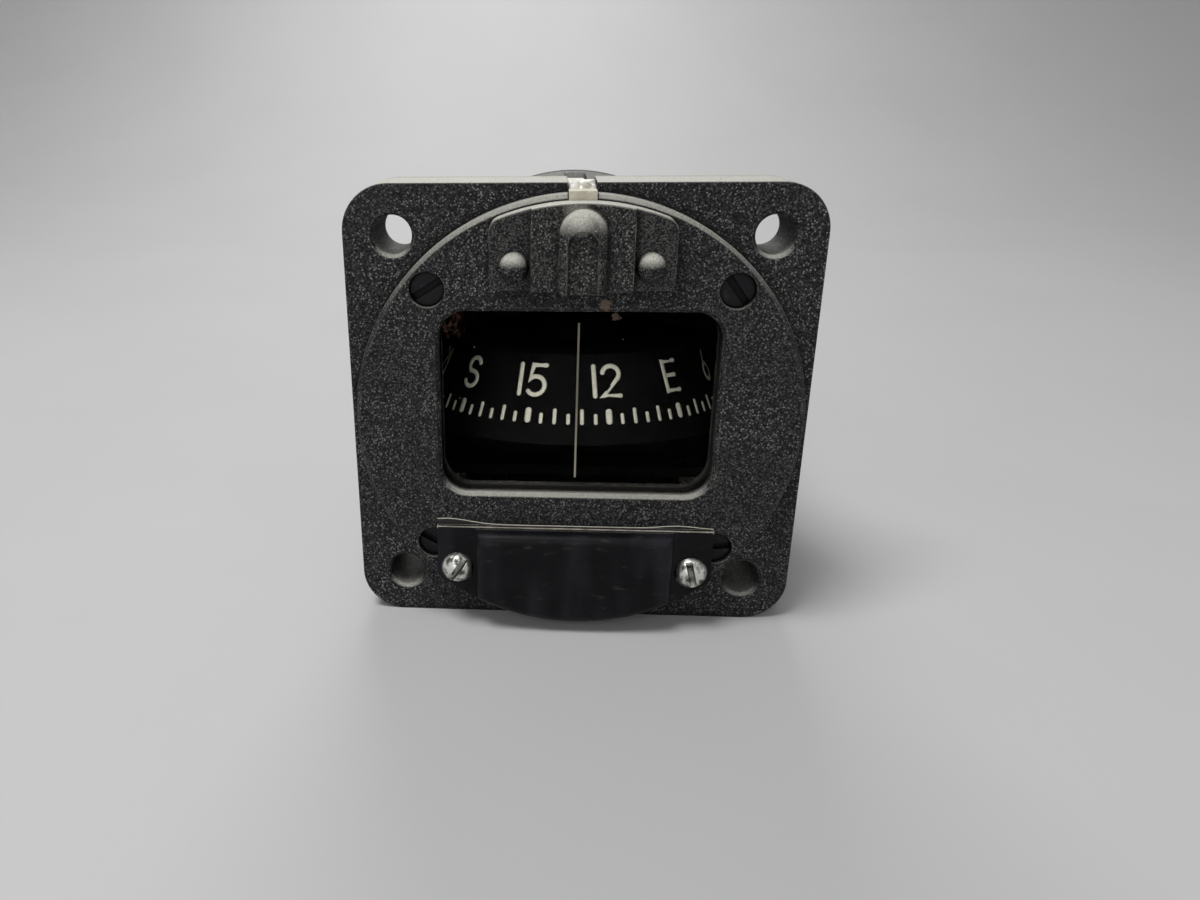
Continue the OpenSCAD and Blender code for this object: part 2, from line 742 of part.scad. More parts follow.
module lamp_lead() color("#c9c6bb") {
    translate([-lead_w / 2, lamp_y - lead_t, 0]) {
        translate([0, 0, lead_z]) cube([lead_w, lead_back - lamp_y + lead_t, lead_t]);
        translate([0, 0, socket_top]) cube([lead_w, lead_t, lead_z + lead_t - socket_top]);
    }
    intersection() {
        union() {
            translate([0, solder_y, solder_z]) sphere(solder_r);
            translate([0, solder_y + solder_tail, solder_z]) sphere(solder_tail_r);
        }
        translate([-groove_w / 2, 0, lead_z]) cube([groove_w, flange_t, flange_w]);
    }
}

// Strip under the lead, with a block that fills the bezel's notch round it
module lead_insulator() color("#cfc6a4") translate([-insulator_w / 2, -bezel_t, groove_z]) {
    cube([insulator_w, lead_back + bezel_t + insulator_reach, insulator_t]);
    difference() {
        cube([insulator_w, bezel_t, bezel_r + insulator_rise - groove_z]);
        translate([(insulator_w - lead_w) / 2 - run_gap, -cut, insulator_t])
            cube([lead_w + 2 * run_gap, bezel_t + 2 * cut, lead_t + run_gap]);
    }
}

// Part of the bezel's disc that lies under the cover, between two depths
module cover_outline(w, top, r, y0, y1) {
    intersection() {
        translate([-w / 2, y0, top - flange_w]) cube([w, y1 - y0, flange_w]);
        ybar(r, y0 - cut, y1 + cut);
    }
}

// Outline w wide and t deep from the origin, its far corner rounded
module soft_corner(w, t) {
    square([w - panel_soft_r, t]);
    square([w, t - panel_soft_r]);
    translate([w - panel_soft_r, t - panel_soft_r]) circle(panel_soft_r);
}

// Raised panel: its top, its sides and its round foot turn softly into the plate
module cover_panel() translate([0, cover_y + cover_t / 2, 0]) intersection() {
    translate([-panel_w / 2, 0, -flange_w / 2]) rotate([180, -90, 0])
        linear_extrude(panel_w) soft_corner(panel_top_z + flange_w / 2, panel_depth);
    translate([0, 0, -flange_w / 2]) linear_extrude(flange_w) mirror([0, 1])
        for (s = [0, 1]) mirror([s, 0]) soft_corner(panel_w / 2, panel_depth);
    mirror([0, 1, 0]) yturn() soft_corner(cover_r - panel_lip, panel_depth);
}

module compensator_cover() color("#1c1b19") difference() {
    union() {
        cover_outline(cover_w, cover_top_z, cover_r, cover_y, cover_y + cover_t);
        cover_panel();
    }
    cover_outline(panel_w - 2 * (panel_edge + cover_wall), panel_top_z - panel_edge - cover_wall,
                  cover_r - panel_foot - cover_wall, cover_y - panel_t + cover_wall,
                  cover_y + cover_t + cut);
    at_sides(cover_screw_x, cover_screw_z)
        ybar(screw_r + seat_gap, cover_y - panel_t, cover_y + cover_t + cut);
}

// How far the thin sheet's curled upper edge shows above the cover
function curl(x, c) = c[2] * exp(-pow((x - c[0]) / c[1], 2));
function sheet_lift(x) = sheet_rise + curl(x, left_curl) + curl(x, right_curl);

module cover_gasket() color("#cfc59a") difference() {
    edge = [for (i = [0:sheet_steps])
               let (x = cover_w * (i / sheet_steps - 0.5)) [x, cover_top_z + sheet_lift(x)]];
    intersection() {
        translate([0, -bezel_t, 0]) rotate([90, 0, 0]) linear_extrude(cover_gasket_t)
            polygon(concat([[-cover_w / 2, -flange_w / 2]], edge, [[cover_w / 2, -flange_w / 2]]));
        ybar(cover_r, -bezel_t - cut, 0);
    }
    pocket(-bezel_t - cut, 0);
    at_sides(cover_screw_x, cover_screw_z) ybar(screw_r + seat_gap, -bezel_t - cut, 0);
}

module cover_screws() color("#b5b2a8")
    for (s = [[-1, -55], [1, 77]])
        translate([s[0] * cover_screw_x, cover_y, cover_screw_z])
            domed_screw(cover_head_d / 2, cover_head_t, screw_r, cover_screw_len, s[1]);

// Outline of a gear with slim teeth, its first tooth at the given angle
function gear_outline(start) =
    [for (i = [0:gear_teeth - 1], t = [[-foot_share, -1], [-tip_share, rise_share],
                                       [tip_share, rise_share], [foot_share, -1]])
        let (a = start + (i + t[0]) * 360 / gear_teeth, r = pitch_r + t[1] * gear_module)
            [r * cos(a), r * sin(a)]];

// Bevel gear whose cone meets the axis one pitch radius above its broad end
module bevel_gear(start) {
    linear_extrude(bevel_face, scale = (pitch_r - bevel_face) / pitch_r) polygon(gear_outline(start));
}

// Slotted head and shaft that the adjusters share
module adjuster_head() {
    difference() {
        ybar(adjuster_head_r, -seat_gap - adjuster_head_t, -seat_gap);
        translate([-adjuster_head_r - cut, -seat_gap - adjuster_head_t - cut, -slot_w / 2])
            cube([2 * (adjuster_head_r + cut), cut + adjuster_head_t * slot_share, slot_w]);
    }
}

// Cross hole for a bar magnet
module magnet_hole() {
    cylinder(d = comp_magnet_d + run_gap, h = 4 * boss_r, center = true);
}

module bar_magnet() {
    cylinder(d = comp_magnet_d, h = magnet_len, center = true);
}

module ew_adjuster() color("#b08d3c") translate([bevel_x, 0, comp_z]) {
    adjuster_head();
    ybar(adjuster_r, -seat_gap - adjuster_head_t / 4, bevel_y - pitch_r + bevel_face / 2);
    ybar(hub_back_r, comp_plate_t + seat_gap, bevel_y - pitch_r + bevel_face / 4);
    translate([0, bevel_y - pitch_r, 0]) rotate([-90, 0, 0]) bevel_gear(0);
}

// Right-hand bevel wheel with its magnet boss and arbor, the cones' meeting point at the origin
module bevel_wheel(start) {
    difference() {
        union() {
            translate([pitch_r, 0, 0]) rotate([0, -90, 0]) bevel_gear(start);
            xbar(hub_back_r, pitch_r - bevel_face / 4, pitch_r + wheel_hub + cut / 4);
            xbar(boss_r, pitch_r + wheel_hub, wheel_reach);
            xbar(arbor_r, wheel_reach - cut / 4, wheel_reach + end_gap + arbor_len);
        }
        translate([wheel_reach - boss_t / 2, 0, 0]) magnet_hole();
    }
}

module ew_wheel_right() color("#b9974a") translate([bevel_x, bevel_y, comp_z])
    bevel_wheel(-90 + 180 / gear_teeth);

module ew_wheel_left() color("#b9974a") translate([bevel_x, bevel_y, comp_z])
    mirror([1, 0, 0]) bevel_wheel(-90);

module ew_magnet_right() color("#5c5f66")
    translate([bevel_x + wheel_reach - boss_t / 2, bevel_y, comp_z]) bar_magnet();

module ew_magnet_left() color("#5c5f66")
    translate([bevel_x - wheel_reach + boss_t / 2, bevel_y, comp_z]) bar_magnet();

// Spur gear with its magnet boss on a shaft that starts at y0
module spur_shaft(y0) {
    difference() {
        union() {
            ybar(adjuster_r, y0, pocket_back - seat_gap);
            translate([0, spur_y, 0]) rotate([-90, 0, 0])
                linear_extrude(spur_t) polygon(gear_outline(0));
            ybar(boss_r, spur_boss_y, spur_boss_y + boss_t);
        }
        translate([0, spur_boss_y + boss_t / 2, 0]) magnet_hole();
    }
}

module ns_adjuster() color("#b08d3c") translate([ns_x, 0, comp_z]) {
    adjuster_head();
    spur_shaft(-seat_gap - adjuster_head_t / 4);
}

module ns_wheel() color("#b9974a") translate([ns_mate_x, 0, comp_z]) spur_shaft(seat_gap);

module ns_magnet_front() color("#5c5f66")
    translate([ns_x, spur_boss_y + boss_t / 2, comp_z]) bar_magnet();

module ns_magnet_mate() color("#5c5f66")
    translate([ns_mate_x, spur_boss_y + boss_t / 2, comp_z]) bar_magnet();

// Wall of the compensator's frame between two places on X
module frame_wall(x0, x1) {
    translate([x0, comp_plate_t, -frame_h / 2]) cube([x1 - x0, pocket_back - comp_plate_t, frame_h]);
}

module compensator_frame() color("#a58a4a") translate([0, 0, comp_z]) difference() {
    intersection() {
        union() {
            translate([-frame_w / 2, back_plate_y, -frame_h / 2]) cube([frame_w, back_plate_t, frame_h]);
            frame_wall(-frame_w / 2, bevel_x - wheel_reach - end_gap);
            frame_wall(bevel_x + wheel_reach + end_gap, bevel_x + wheel_reach + end_gap + cheek_t);
            frame_wall(ns_mate_x + gear_r, frame_w / 2);
        }
        rounded_block(frame_w, frame_h, pocket_corner_r, 0, pocket_back);
    }
    translate([0, bevel_y, 0]) xbar(arbor_r + run_gap, -frame_w, 0);
    for (x = [ns_x, ns_mate_x])
        translate([x, 0, 0]) ybar(adjuster_r + run_gap, back_plate_y - cut, pocket_back + cut);
}

module compensator_plate() color("#a58a4a") translate([0, 0, comp_z]) difference() {
    union() {
        rounded_block(frame_w, frame_h, pocket_corner_r, 0, comp_plate_t);
        rounded_block(comp_w + 2 * ear_reach, ear_h, pocket_corner_r, 0, comp_plate_t);
    }
    for (x = [bevel_x, ns_x, ns_mate_x])
        translate([x, 0, 0]) ybar(adjuster_r + run_gap, -cut, comp_plate_t + cut);
}

module pivot_bridge() color("#9c8a58") translate([0, card_y, bridge_z - bridge_t]) difference() {
    translate([-bridge_half, -bridge_w / 2, 0]) cube([2 * bridge_half, bridge_w, bridge_t]);
    translate([0, 0, -cut]) cylinder(r = spigot_r + run_gap, h = bridge_t + 2 * cut);
    for (s = [-1, 1])
        translate([s * bridge_screw_x, 0, -cut])
            cylinder(r = rear_screw_r + seat_gap, h = bridge_t + 2 * cut);
}

module bridge_screws() color("#a9a69b")
    for (s = [-1, 1])
        translate([s * bridge_screw_x, card_y, bridge_z]) rotate([-90, 0, 0])
            slotted_screw(bridge_head_r, bridge_head_t, rear_screw_r,
                          bridge_t + bridge_screw_len - seat_gap, 0);

module pivot_post() color("#9c8a58") translate([0, card_y, 0]) difference() {
    union() {
        translate([0, 0, bridge_z - bridge_t]) cylinder(r = spigot_r, h = bridge_t + cut);
        translate([0, 0, bridge_z]) cylinder(r = post_r, h = jewel_top - bridge_z);
    }
    translate([0, 0, jewel_top - jewel_h - spring_len])
        cylinder(r = jewel_r + run_gap, h = jewel_h + spring_len + cut);
}

module jewel_cup() color("#7d1f3a") translate([0, card_y, 0]) rotate_extrude()
    polygon([[0, jewel_top - jewel_h], [jewel_r, jewel_top - jewel_h], [jewel_r, jewel_top],
             [jewel_rim_share * jewel_r, jewel_top],
             [jewel_floor_share * jewel_r, pivot_z - tip_r - run_gap], [0, pivot_z - tip_r - run_gap]]);

// Ring of points round the spring's wire at a turn of angle a
function wire_ring(a, rise) =
    [for (k = [0:wire_sides - 1])
        let (b = k * 360 / wire_sides, r = spring_r + wire_r * cos(b))
            [r * cos(a), r * sin(a), rise + wire_r * sin(b)]];

module jewel_spring() color("#b7b9bb") translate([0, card_y, jewel_top - jewel_h - spring_len]) {
    steps = spring_turns * turn_steps;
    lift = spring_len - 2 * wire_r - 2 * run_gap;
    points = [for (i = [0:steps])
                 each wire_ring(i * 360 / turn_steps, wire_r + run_gap + lift * i / steps)];
    sides = [for (i = [0:steps - 1], k = [0:wire_sides - 1])
                 let (a = i * wire_sides + k, b = i * wire_sides + (k + 1) % wire_sides)
                     each [[a, b, a + wire_sides], [b, b + wire_sides, a + wire_sides]]];
    first = [for (k = [wire_sides - 1:-1:0]) k];
    last = [for (k = [0:wire_sides - 1]) steps * wire_sides + k];
    polyhedron(points, concat(sides, [first], [last]));
}

module jewel_retainer() color("#a58a4a") translate([0, card_y, 0]) rotate_extrude()
    polygon([[retainer_bore_r, jewel_top], [post_r + run_gap, jewel_top],
             [post_r + run_gap, jewel_top - retainer_skirt],
             [post_r + retainer_wall, jewel_top - retainer_skirt],
             [post_r + retainer_wall, jewel_top + retainer_wall],
             [retainer_bore_r, jewel_top + retainer_wall]]);

module pivot_tip() color("#d8d8d4") translate([0, card_y, pivot_z]) sphere(tip_r);

module pivot_pin() color("#8f9296") translate([0, card_y, 0]) difference() {
    rotate_extrude() polygon([[0, pivot_z], [pin_foot_share * tip_r, pivot_z], [pin_r, pivot_z + pin_taper],
                              [pin_r, collar_top - collar_t], [collar_r, collar_top - collar_t],
                              [collar_r, collar_top], [pin_r, collar_top],
                              [pin_r, hub_top + pin_rise], [0, hub_top + pin_rise]]);
    translate([0, 0, pivot_z]) sphere(tip_r + run_gap);
}

module compass_card() color("#11110f") translate([0, card_y, 0]) rotate_extrude()
    polygon([[card_r, card_bottom_z], [card_top_r, card_top_z], [dome_r, card_top_z], [dome_r, dome_z],
             [hub_r, dome_z], [hub_r, hub_top], [pin_r + run_gap, hub_top], [pin_r + run_gap, hub_bottom],
             [hub_r, hub_bottom], [hub_r, dome_z - card_t], [dome_r - card_t, dome_z - card_t],
             [dome_r - card_t, card_top_z - card_t], [card_top_r - card_t, card_top_z - card_t],
             [card_r - card_t / cos(card_lean), card_bottom_z]]);

module card_float() color("#1b1b19") translate([0, card_y, 0]) rotate_extrude()
    polygon([[float_bore_r, float_bottom], [float_r - float_edge, float_bottom],
             [float_r, float_bottom + float_edge], [float_r, float_top - float_edge],
             [float_r - float_edge, float_top], [float_bore_r, float_top]]);

module magnet_carrier() color("#b08d3c") translate([0, card_y, float_bottom - carrier_t]) difference() {
    cylinder(r = float_r - float_edge, h = carrier_t);
    translate([0, 0, -cut]) cylinder(r = float_bore_r, h = carrier_t + 2 * cut);
}

module card_magnets() color("#5c5f66") translate([0, card_y, float_bottom - carrier_t - magnet_side])
    for (s = [-1, 1])
        translate([s * magnet_x - magnet_side / 2, -magnet_half, 0])
            cube([magnet_side, 2 * magnet_half, magnet_side]);

module rear_gasket() color("#3a2f22") difference() {
    ybar(barrel_r - seat_gap, barrel_back, diaphragm_y);
    ybar(gasket_bore_r, barrel_back - cut, diaphragm_y + cut);
    at_rear_screws() ybar(rear_screw_r + seat_gap, barrel_back - cut, diaphragm_y + cut);
}

// Ripple of the diaphragm at a distance from its middle
function ripple(r) = ripple_h * (1 - cos(360 * ripples * r / ripple_r)) / 2;

module diaphragm() color("#4b4034") difference() {
    radii = [for (i = [0:ripples * ripple_steps]) ripple_r * i / (ripples * ripple_steps)];
    yturn() polygon(concat([for (r = radii) [r, diaphragm_y + ripple(r)]],
                           [[barrel_r - seat_gap, diaphragm_y], [barrel_r - seat_gap, rear_y]],
                           [for (i = [len(radii) - 1:-1:0]) [radii[i], rear_y + ripple(radii[i])]]));
    at_rear_screws() ybar(rear_screw_r + seat_gap, diaphragm_y - cut, rear_y + cut);
}

module rear_cover() color("#24221d") difference() {
    chamber = rear_out + rear_dome_t - rear_wall;
    yturn() polygon([[0, chamber], [rear_chamber_r, chamber], [rear_chamber_r, rear_y], [barrel_r, rear_y],
                     [barrel_r, rear_out - bezel_chamfer], [barrel_r - bezel_chamfer, rear_out],
                     [rear_dome_r, rear_out], [rear_dome_r - bezel_chamfer, rear_out + rear_dome_t],
                     [0, rear_out + rear_dome_t]]);
    at_rear_screws() ybar(rear_screw_r + seat_gap, rear_y - cut, rear_out + cut);
    translate([0, 0, -rear_chamber_r / 2]) ybar(vent_r, rear_y, rear_out + rear_dome_t + cut);
}

module rear_cover_screws() color("#b5b2a8")
    at_rear_screws() translate([0, rear_out, 0]) rotate([0, 0, 180])
        domed_screw(rear_head_r, rear_head_t, rear_screw_r,
                    rear_out - barrel_back + rear_screw_len - seat_gap, rear_slot_turn);

module filler_washer() color("#8a5a3a") translate([-plug_flat - washer_t, plug_y, 0]) difference() {
    xbar(plug_head_r, 0, washer_t);
    xbar(plug_r + seat_gap, -cut, washer_t + cut);
}

module filler_plug() color("#b5b2a8") translate([-plug_flat - washer_t, plug_y, 0]) rotate([0, 0, -90])
    slotted_screw(plug_head_r, plug_head_t, plug_r,
                  washer_t + plug_flat - bowl_r + plug_boss - seat_gap, plug_slot_turn);

case_body();
front_bezel();
bezel_screws();
window_glass();
window_gasket();
lubber_line();
lamp_housing();
lamp_rivets();
lamp_bulb();
lamp_socket();
lamp_filter();
lamp_lead();
lead_insulator();
compensator_cover();
cover_gasket();
cover_screws();
compensator_frame();
compensator_plate();
ew_adjuster();
ew_wheel_left();
ew_wheel_right();
ew_magnet_left();
ew_magnet_right();
ns_adjuster();
ns_wheel();
ns_magnet_front();
ns_magnet_mate();
pivot_bridge();
bridge_screws();
pivot_post();
jewel_cup();
jewel_spring();
jewel_retainer();
pivot_tip();
pivot_pin();
compass_card();
card_float();
magnet_carrier();
card_magnets();
rear_gasket();
diaphragm();
rear_cover();
rear_cover_screws();
filler_plug();
filler_washer();
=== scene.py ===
# %% [markdown]
# # Aircraft panel compass
# A small liquid-filled compass that screws to the back of an instrument panel: a square cast
# flange with a round case behind it, a front disc with a window, a lamp housing on top and a
# covered compensator below. The solids come from the CAD model. This script adds the camera, the
# light, the finishes, the printed scale of the card and the signs of age.

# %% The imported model
import math

import bmesh
import bpy
from mathutils import Matrix, Vector


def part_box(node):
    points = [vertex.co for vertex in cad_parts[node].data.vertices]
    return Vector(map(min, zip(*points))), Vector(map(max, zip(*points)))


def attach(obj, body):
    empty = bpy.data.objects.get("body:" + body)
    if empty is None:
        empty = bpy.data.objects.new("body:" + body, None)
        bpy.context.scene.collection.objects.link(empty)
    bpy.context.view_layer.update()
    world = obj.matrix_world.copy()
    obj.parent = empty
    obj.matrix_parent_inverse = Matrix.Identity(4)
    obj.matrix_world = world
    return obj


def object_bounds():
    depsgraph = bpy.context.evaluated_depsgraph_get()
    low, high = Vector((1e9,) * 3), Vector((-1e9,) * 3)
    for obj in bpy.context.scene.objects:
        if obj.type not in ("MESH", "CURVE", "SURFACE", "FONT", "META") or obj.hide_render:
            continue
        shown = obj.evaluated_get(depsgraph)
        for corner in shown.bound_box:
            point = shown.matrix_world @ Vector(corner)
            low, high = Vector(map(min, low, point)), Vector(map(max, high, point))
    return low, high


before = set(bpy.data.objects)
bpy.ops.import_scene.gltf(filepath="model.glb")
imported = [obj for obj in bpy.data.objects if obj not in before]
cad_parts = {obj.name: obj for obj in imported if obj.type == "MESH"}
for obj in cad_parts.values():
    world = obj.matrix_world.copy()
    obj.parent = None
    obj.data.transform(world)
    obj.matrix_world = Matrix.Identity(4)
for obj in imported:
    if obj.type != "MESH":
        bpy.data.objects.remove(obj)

cad_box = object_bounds()
MM = 0.001
box_mm = [[round(v / MM, 1) for v in corner] for corner in cad_box]
print("pieces:", len(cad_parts), "box in mm:", box_mm)

# %% [markdown]
# ## Camera
# The compass was photographed from close by, a little to its left and well above its middle, so
# the flange narrows visibly towards the table. A short lens close to the object gives that
# narrowing; a long lens from afar would draw the flange as a near square. The picture is cropped
# off centre, and a sideways lens shift does the same without turning the camera.

# %% Camera
CAMERA_MM = (-3.58, -115.14, 39.63)
LOOKING, SIDEWAYS = (-0.0696, 0.9301, -0.3606), (0.9974, 0.0708, -0.0098)
SENSOR_W, LENS, SHIFT_X = 36, 27.18, 0.0952
NEAREST = 0.01

scene = bpy.context.scene
camera = bpy.data.cameras.new("camera")
camera.sensor_width = SENSOR_W
camera.lens = LENS
camera.shift_x = SHIFT_X
camera.clip_start = NEAREST
camera_object = bpy.data.objects.new("camera", camera)
scene.collection.objects.link(camera_object)

looking = Vector(LOOKING).normalized()
sideways = Vector(SIDEWAYS)
sideways = (sideways - looking * sideways.dot(looking)).normalized()
upwards = sideways.cross(looking)
turn = Matrix((sideways, upwards, -looking)).transposed().to_4x4()
camera_object.matrix_world = Matrix.Translation(Vector(CAMERA_MM) * MM) @ turn
scene.camera = camera_object
scene.view_settings.view_transform = "Standard"
print("camera at", CAMERA_MM, "mm, lens", LENS, "mm")

# %% [markdown]
# ## Table and light
# The compass stands on its flange. A pale floor that curves up into a backdrop has no corner, so
# no line crosses the picture behind the object. A floor and a separate wall would be quicker, but
# their seam would show.

# %% Floor and backdrop
floor_z = cad_box[0][2]
FLOOR_FRONT_Y, BACKDROP_Y = -2.0, 0.7
BACKDROP_H, HALF_W = 0.9, 2.0
BEND_R, BEND_STEPS = 0.4, 16


def floor_profile():
    """Points of the floor and backdrop seen from the side, from the front to the top."""
    bend_y = BACKDROP_Y - BEND_R
    points = [(FLOOR_FRONT_Y, 0.0), (bend_y, 0.0)]
    for step in range(1, BEND_STEPS + 1):
        angle = math.radians(90 * step / BEND_STEPS)
        points.append((bend_y + BEND_R * math.sin(angle), BEND_R * (1 - math.cos(angle))))
    return points + [(BACKDROP_Y, BACKDROP_H)]


def mesh_object(name, shape):
    """Turns a bmesh into an object of the scene."""
    data = bpy.data.meshes.new(name)
    shape.to_mesh(data)
    shape.free()
    made = bpy.data.objects.new(name, data)
    scene.collection.objects.link(made)
    return made


sweep = bmesh.new()
rows = [[sweep.verts.new((x, y, floor_z + z)) for x in (-HALF_W, HALF_W)] for y, z in floor_profile()]
for low, high in zip(rows, rows[1:]):
    sweep.faces.new((low[0], low[1], high[1], high[0])).smooth = True
floor = mesh_object("floor", sweep)
print("floor at", round(floor_z / MM, 2), "mm, backdrop", round(BACKDROP_Y / MM), "mm behind the flange")

# %% [markdown]
# ## Light
# The photograph is lit from above and a little behind, which whitens every edge that faces up
# and leaves the front dark. Three soft panels do the same: one overhead, one behind that skims
# over the top edges, and a weak one in front so that the card can be read. A single bare lamp
# would do it too, but with hard shadows and burnt spots on the metal.

# %% Soft panels
def soft_panel(name, place_mm, size_mm, watts):
    """Square area light that looks at the middle of the flange."""
    lamp = bpy.data.lights.new(name, "AREA")
    lamp.size = size_mm * MM
    lamp.energy = watts
    panel = bpy.data.objects.new(name, lamp)
    panel.location = Vector(place_mm) * MM
    panel.rotation_euler = (-panel.location).to_track_quat("-Z", "Y").to_euler()
    panel.visible_camera = False
    scene.collection.objects.link(panel)
    return panel


panels = [soft_panel("overhead_panel", place_mm=(-200, -180, 620), size_mm=240, watts=2.7),
          soft_panel("rear_panel", place_mm=(-60, 560, 420), size_mm=320, watts=1.5),
          soft_panel("front_panel", place_mm=(-120, -500, 230), size_mm=300, watts=0.55)]
print("light panels:", [panel.name for panel in panels])

# %% [markdown]
# ## Building finishes from nodes
# Every finish is a Principled shader fed by noise. The noise reads object coordinates, and since
# all pieces share one origin in metres, a grain of a quarter of a millimetre has that size on
# each of them. A few helpers keep the node set-ups short.

# %% Helpers for finishes
def new_finish(name):
    """Empty material with its node tree and its Principled shader."""
    material = bpy.data.materials.new(name)
    material.use_nodes = True
    return material, material.node_tree, material.node_tree.nodes["Principled BSDF"]


def add_node(tree, kind, **values):
    """Adds a node and sets the inputs or settings that are named."""
    node = tree.nodes.new(kind)
    for key, value in values.items():
        if key in node.inputs:
            node.inputs[key].default_value = value
        else:
            setattr(node, key, value)
    return node


def own_place(tree):
    """Place of the shaded point, in metres from the common origin."""
    return add_node(tree, "ShaderNodeTexCoord").outputs["Object"]


def one_axis(tree, vector, axis):
    """The X, Y or Z of a vector."""
    split = add_node(tree, "ShaderNodeSeparateXYZ")
    tree.links.new(vector, split.inputs["Vector"])
    return split.outputs[axis]


def grain(tree, size_mm, detail=2.0, squeeze=(1, 1, 1)):
    """Noise whose lumps are about size_mm across, as a value from 0 to 1."""
    place = own_place(tree)
    if squeeze != (1, 1, 1):
        mapping = add_node(tree, "ShaderNodeMapping", Scale=squeeze)
        tree.links.new(place, mapping.inputs["Vector"])
        place = mapping.outputs["Vector"]
    noise = add_node(tree, "ShaderNodeTexNoise", Scale=1 / (size_mm * MM), Detail=detail)
    tree.links.new(place, noise.inputs["Vector"])
    return noise.outputs["Fac"]


def between(tree, value, low, high, start=0.0, end=1.0):
    """Maps value from the span low to high onto start to end, and holds it at the ends."""
    node = add_node(tree, "ShaderNodeMapRange")
    for key, number in (("From Min", low), ("From Max", high), ("To Min", start), ("To Max", end)):
        node.inputs[key].default_value = number
    tree.links.new(value, node.inputs["Value"])
    return node.outputs["Result"]


def reckon(tree, operation, *values):
    """Result of a sum on one or two values."""
    node = add_node(tree, "ShaderNodeMath", operation=operation)
    for value, socket in zip(values, node.inputs):
        tree.links.new(value, socket)
    return node.outputs["Value"]


def times(tree, first, second):
    """Product of two values."""
    return reckon(tree, "MULTIPLY", first, second)


def larger(tree, first, second):
    """The larger of two values."""
    return reckon(tree, "MAXIMUM", first, second)


def blend_colours(tree, share, first, second):
    """Colour that goes from first to second as share goes from 0 to 1."""
    node = add_node(tree, "ShaderNodeMix", data_type="RGBA")
    tree.links.new(share, node.inputs["Factor"])
    for colour, socket in ((first, node.inputs[6]), (second, node.inputs[7])):
        if isinstance(colour, tuple):
            socket.default_value = (*colour, 1)
        else:
            tree.links.new(colour, socket)
    return node.outputs[2]


def soft_normal(tree, radius_mm):
    """Direction of the surface, turned over edges as if they were rounded."""
    return add_node(tree, "ShaderNodeBevel", samples=4, Radius=radius_mm * MM).outputs["Normal"]


def raise_surface(tree, shader, height, depth_mm, strength=1.0, edge_mm=0.0):
    """Bumps the surface by height, over edges that are rounded by edge_mm."""
    bump = add_node(tree, "ShaderNodeBump", Strength=strength, Distance=depth_mm * MM)
    tree.links.new(height, bump.inputs["Height"])
    if edge_mm:
        tree.links.new(soft_normal(tree, edge_mm), bump.inputs["Normal"])
    tree.links.new(bump.outputs["Normal"], shader.inputs["Normal"])


def edge_share(tree, radius_mm):
    """1 on sharp outer and inner edges, 0 on flat faces."""
    plain = add_node(tree, "ShaderNodeNewGeometry")
    dot = add_node(tree, "ShaderNodeVectorMath", operation="DOT_PRODUCT")
    tree.links.new(soft_normal(tree, radius_mm), dot.inputs[0])
    tree.links.new(plain.outputs["Normal"], dot.inputs[1])
    return between(tree, dot.outputs["Value"], 0.99, 0.86)


def dress(material, *names):
    """Gives the finish to CAD pieces."""
    for name in names:
        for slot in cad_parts[name].material_slots:
            slot.material = material
    print(material.name, "on", ", ".join(names))


# %% [markdown]
# ## Room
# The room only gives a weak, even fill. Seen directly, in gloss or through glass it is as pale as
# the floor, so that no side of the compass stands before a dark wall; the light path tells these
# rays from the ones that carry light to the pieces.

# %% Room
FILL, SEEN = 0.16, 0.58
COOL_WHITE = (0.97, 0.985, 1.0, 1)
scene.world = bpy.data.worlds.new("room")
scene.world.use_nodes = True
tree = scene.world.node_tree
room = tree.nodes["Background"]
room.inputs["Color"].default_value = COOL_WHITE
path = add_node(tree, "ShaderNodeLightPath").outputs
seen = larger(tree, path["Is Camera Ray"], path["Is Glossy Ray"])
seen = larger(tree, seen, path["Is Transmission Ray"])
tree.links.new(between(tree, seen, 0, 1, FILL, SEEN), room.inputs["Strength"])
print("room fills with", FILL, "and shows as", SEEN)

# %% [markdown]
# ## Floor finish
# The floor is matt pale card. Slow noise between two near greys keeps it from looking like a flat
# fill, and a dull surface keeps the panels from showing in it.

# %% Floor finish
floor_finish, tree, shader = new_finish("pale_floor")
paper = blend_colours(tree, grain(tree, 60, 3), (0.58, 0.58, 0.575), (0.63, 0.63, 0.625))
tree.links.new(paper, shader.inputs["Base Color"])
shader.inputs["Roughness"].default_value = 0.7
floor.data.materials.append(floor_finish)
print(floor_finish.name, "on", floor.name)

# %% [markdown]
# ## Sprayed black paint
# The castings and the lamp housing carry a dull black paint with a fine grain, like sandpaper.
# A few grain tips are pale, more in some patches than in others: painted glints of grains that
# catch the light. Pale dust lies on all that looks up and also stands for the sheen of top faces,
# a painted highlight. The outer edges are worn pale, partly wear and partly painted highlight, and
# the paint is darkened in holes and corners as painted shade. Painting such marks by hand would
# need an image. Masks made from a face's direction, place and openness put them on any shape.

# %% Where paint wears, dust and painted sheen lie, and painted shade falls
BOWL_MM = (26.2, 26.8)
PANE_MM = (-1.8, -2.4)
BEHIND_MM, BEHIND_DUST = (7, 15), 0.22


def upward_share(tree, low, high):
    """0 on faces that look down or level, 1 on faces and rounded edges that look up."""
    return between(tree, one_axis(tree, soft_normal(tree, 0.3), "Z"), low, high)


def outer_share(tree):
    """1 on the outside of the case and in front of the pane, 0 in the bowl."""
    place = own_place(tree)
    flat = add_node(tree, "ShaderNodeVectorMath", operation="MULTIPLY")
    flat.inputs[1].default_value = (1, 0, 1)
    tree.links.new(place, flat.inputs[0])
    size = add_node(tree, "ShaderNodeVectorMath", operation="LENGTH")
    tree.links.new(flat.outputs["Vector"], size.inputs[0])
    outside = between(tree, size.outputs["Value"], *(r * MM for r in BOWL_MM))
    before = between(tree, one_axis(tree, place, "Y"), *(y * MM for y in PANE_MM))
    return larger(tree, outside, before)


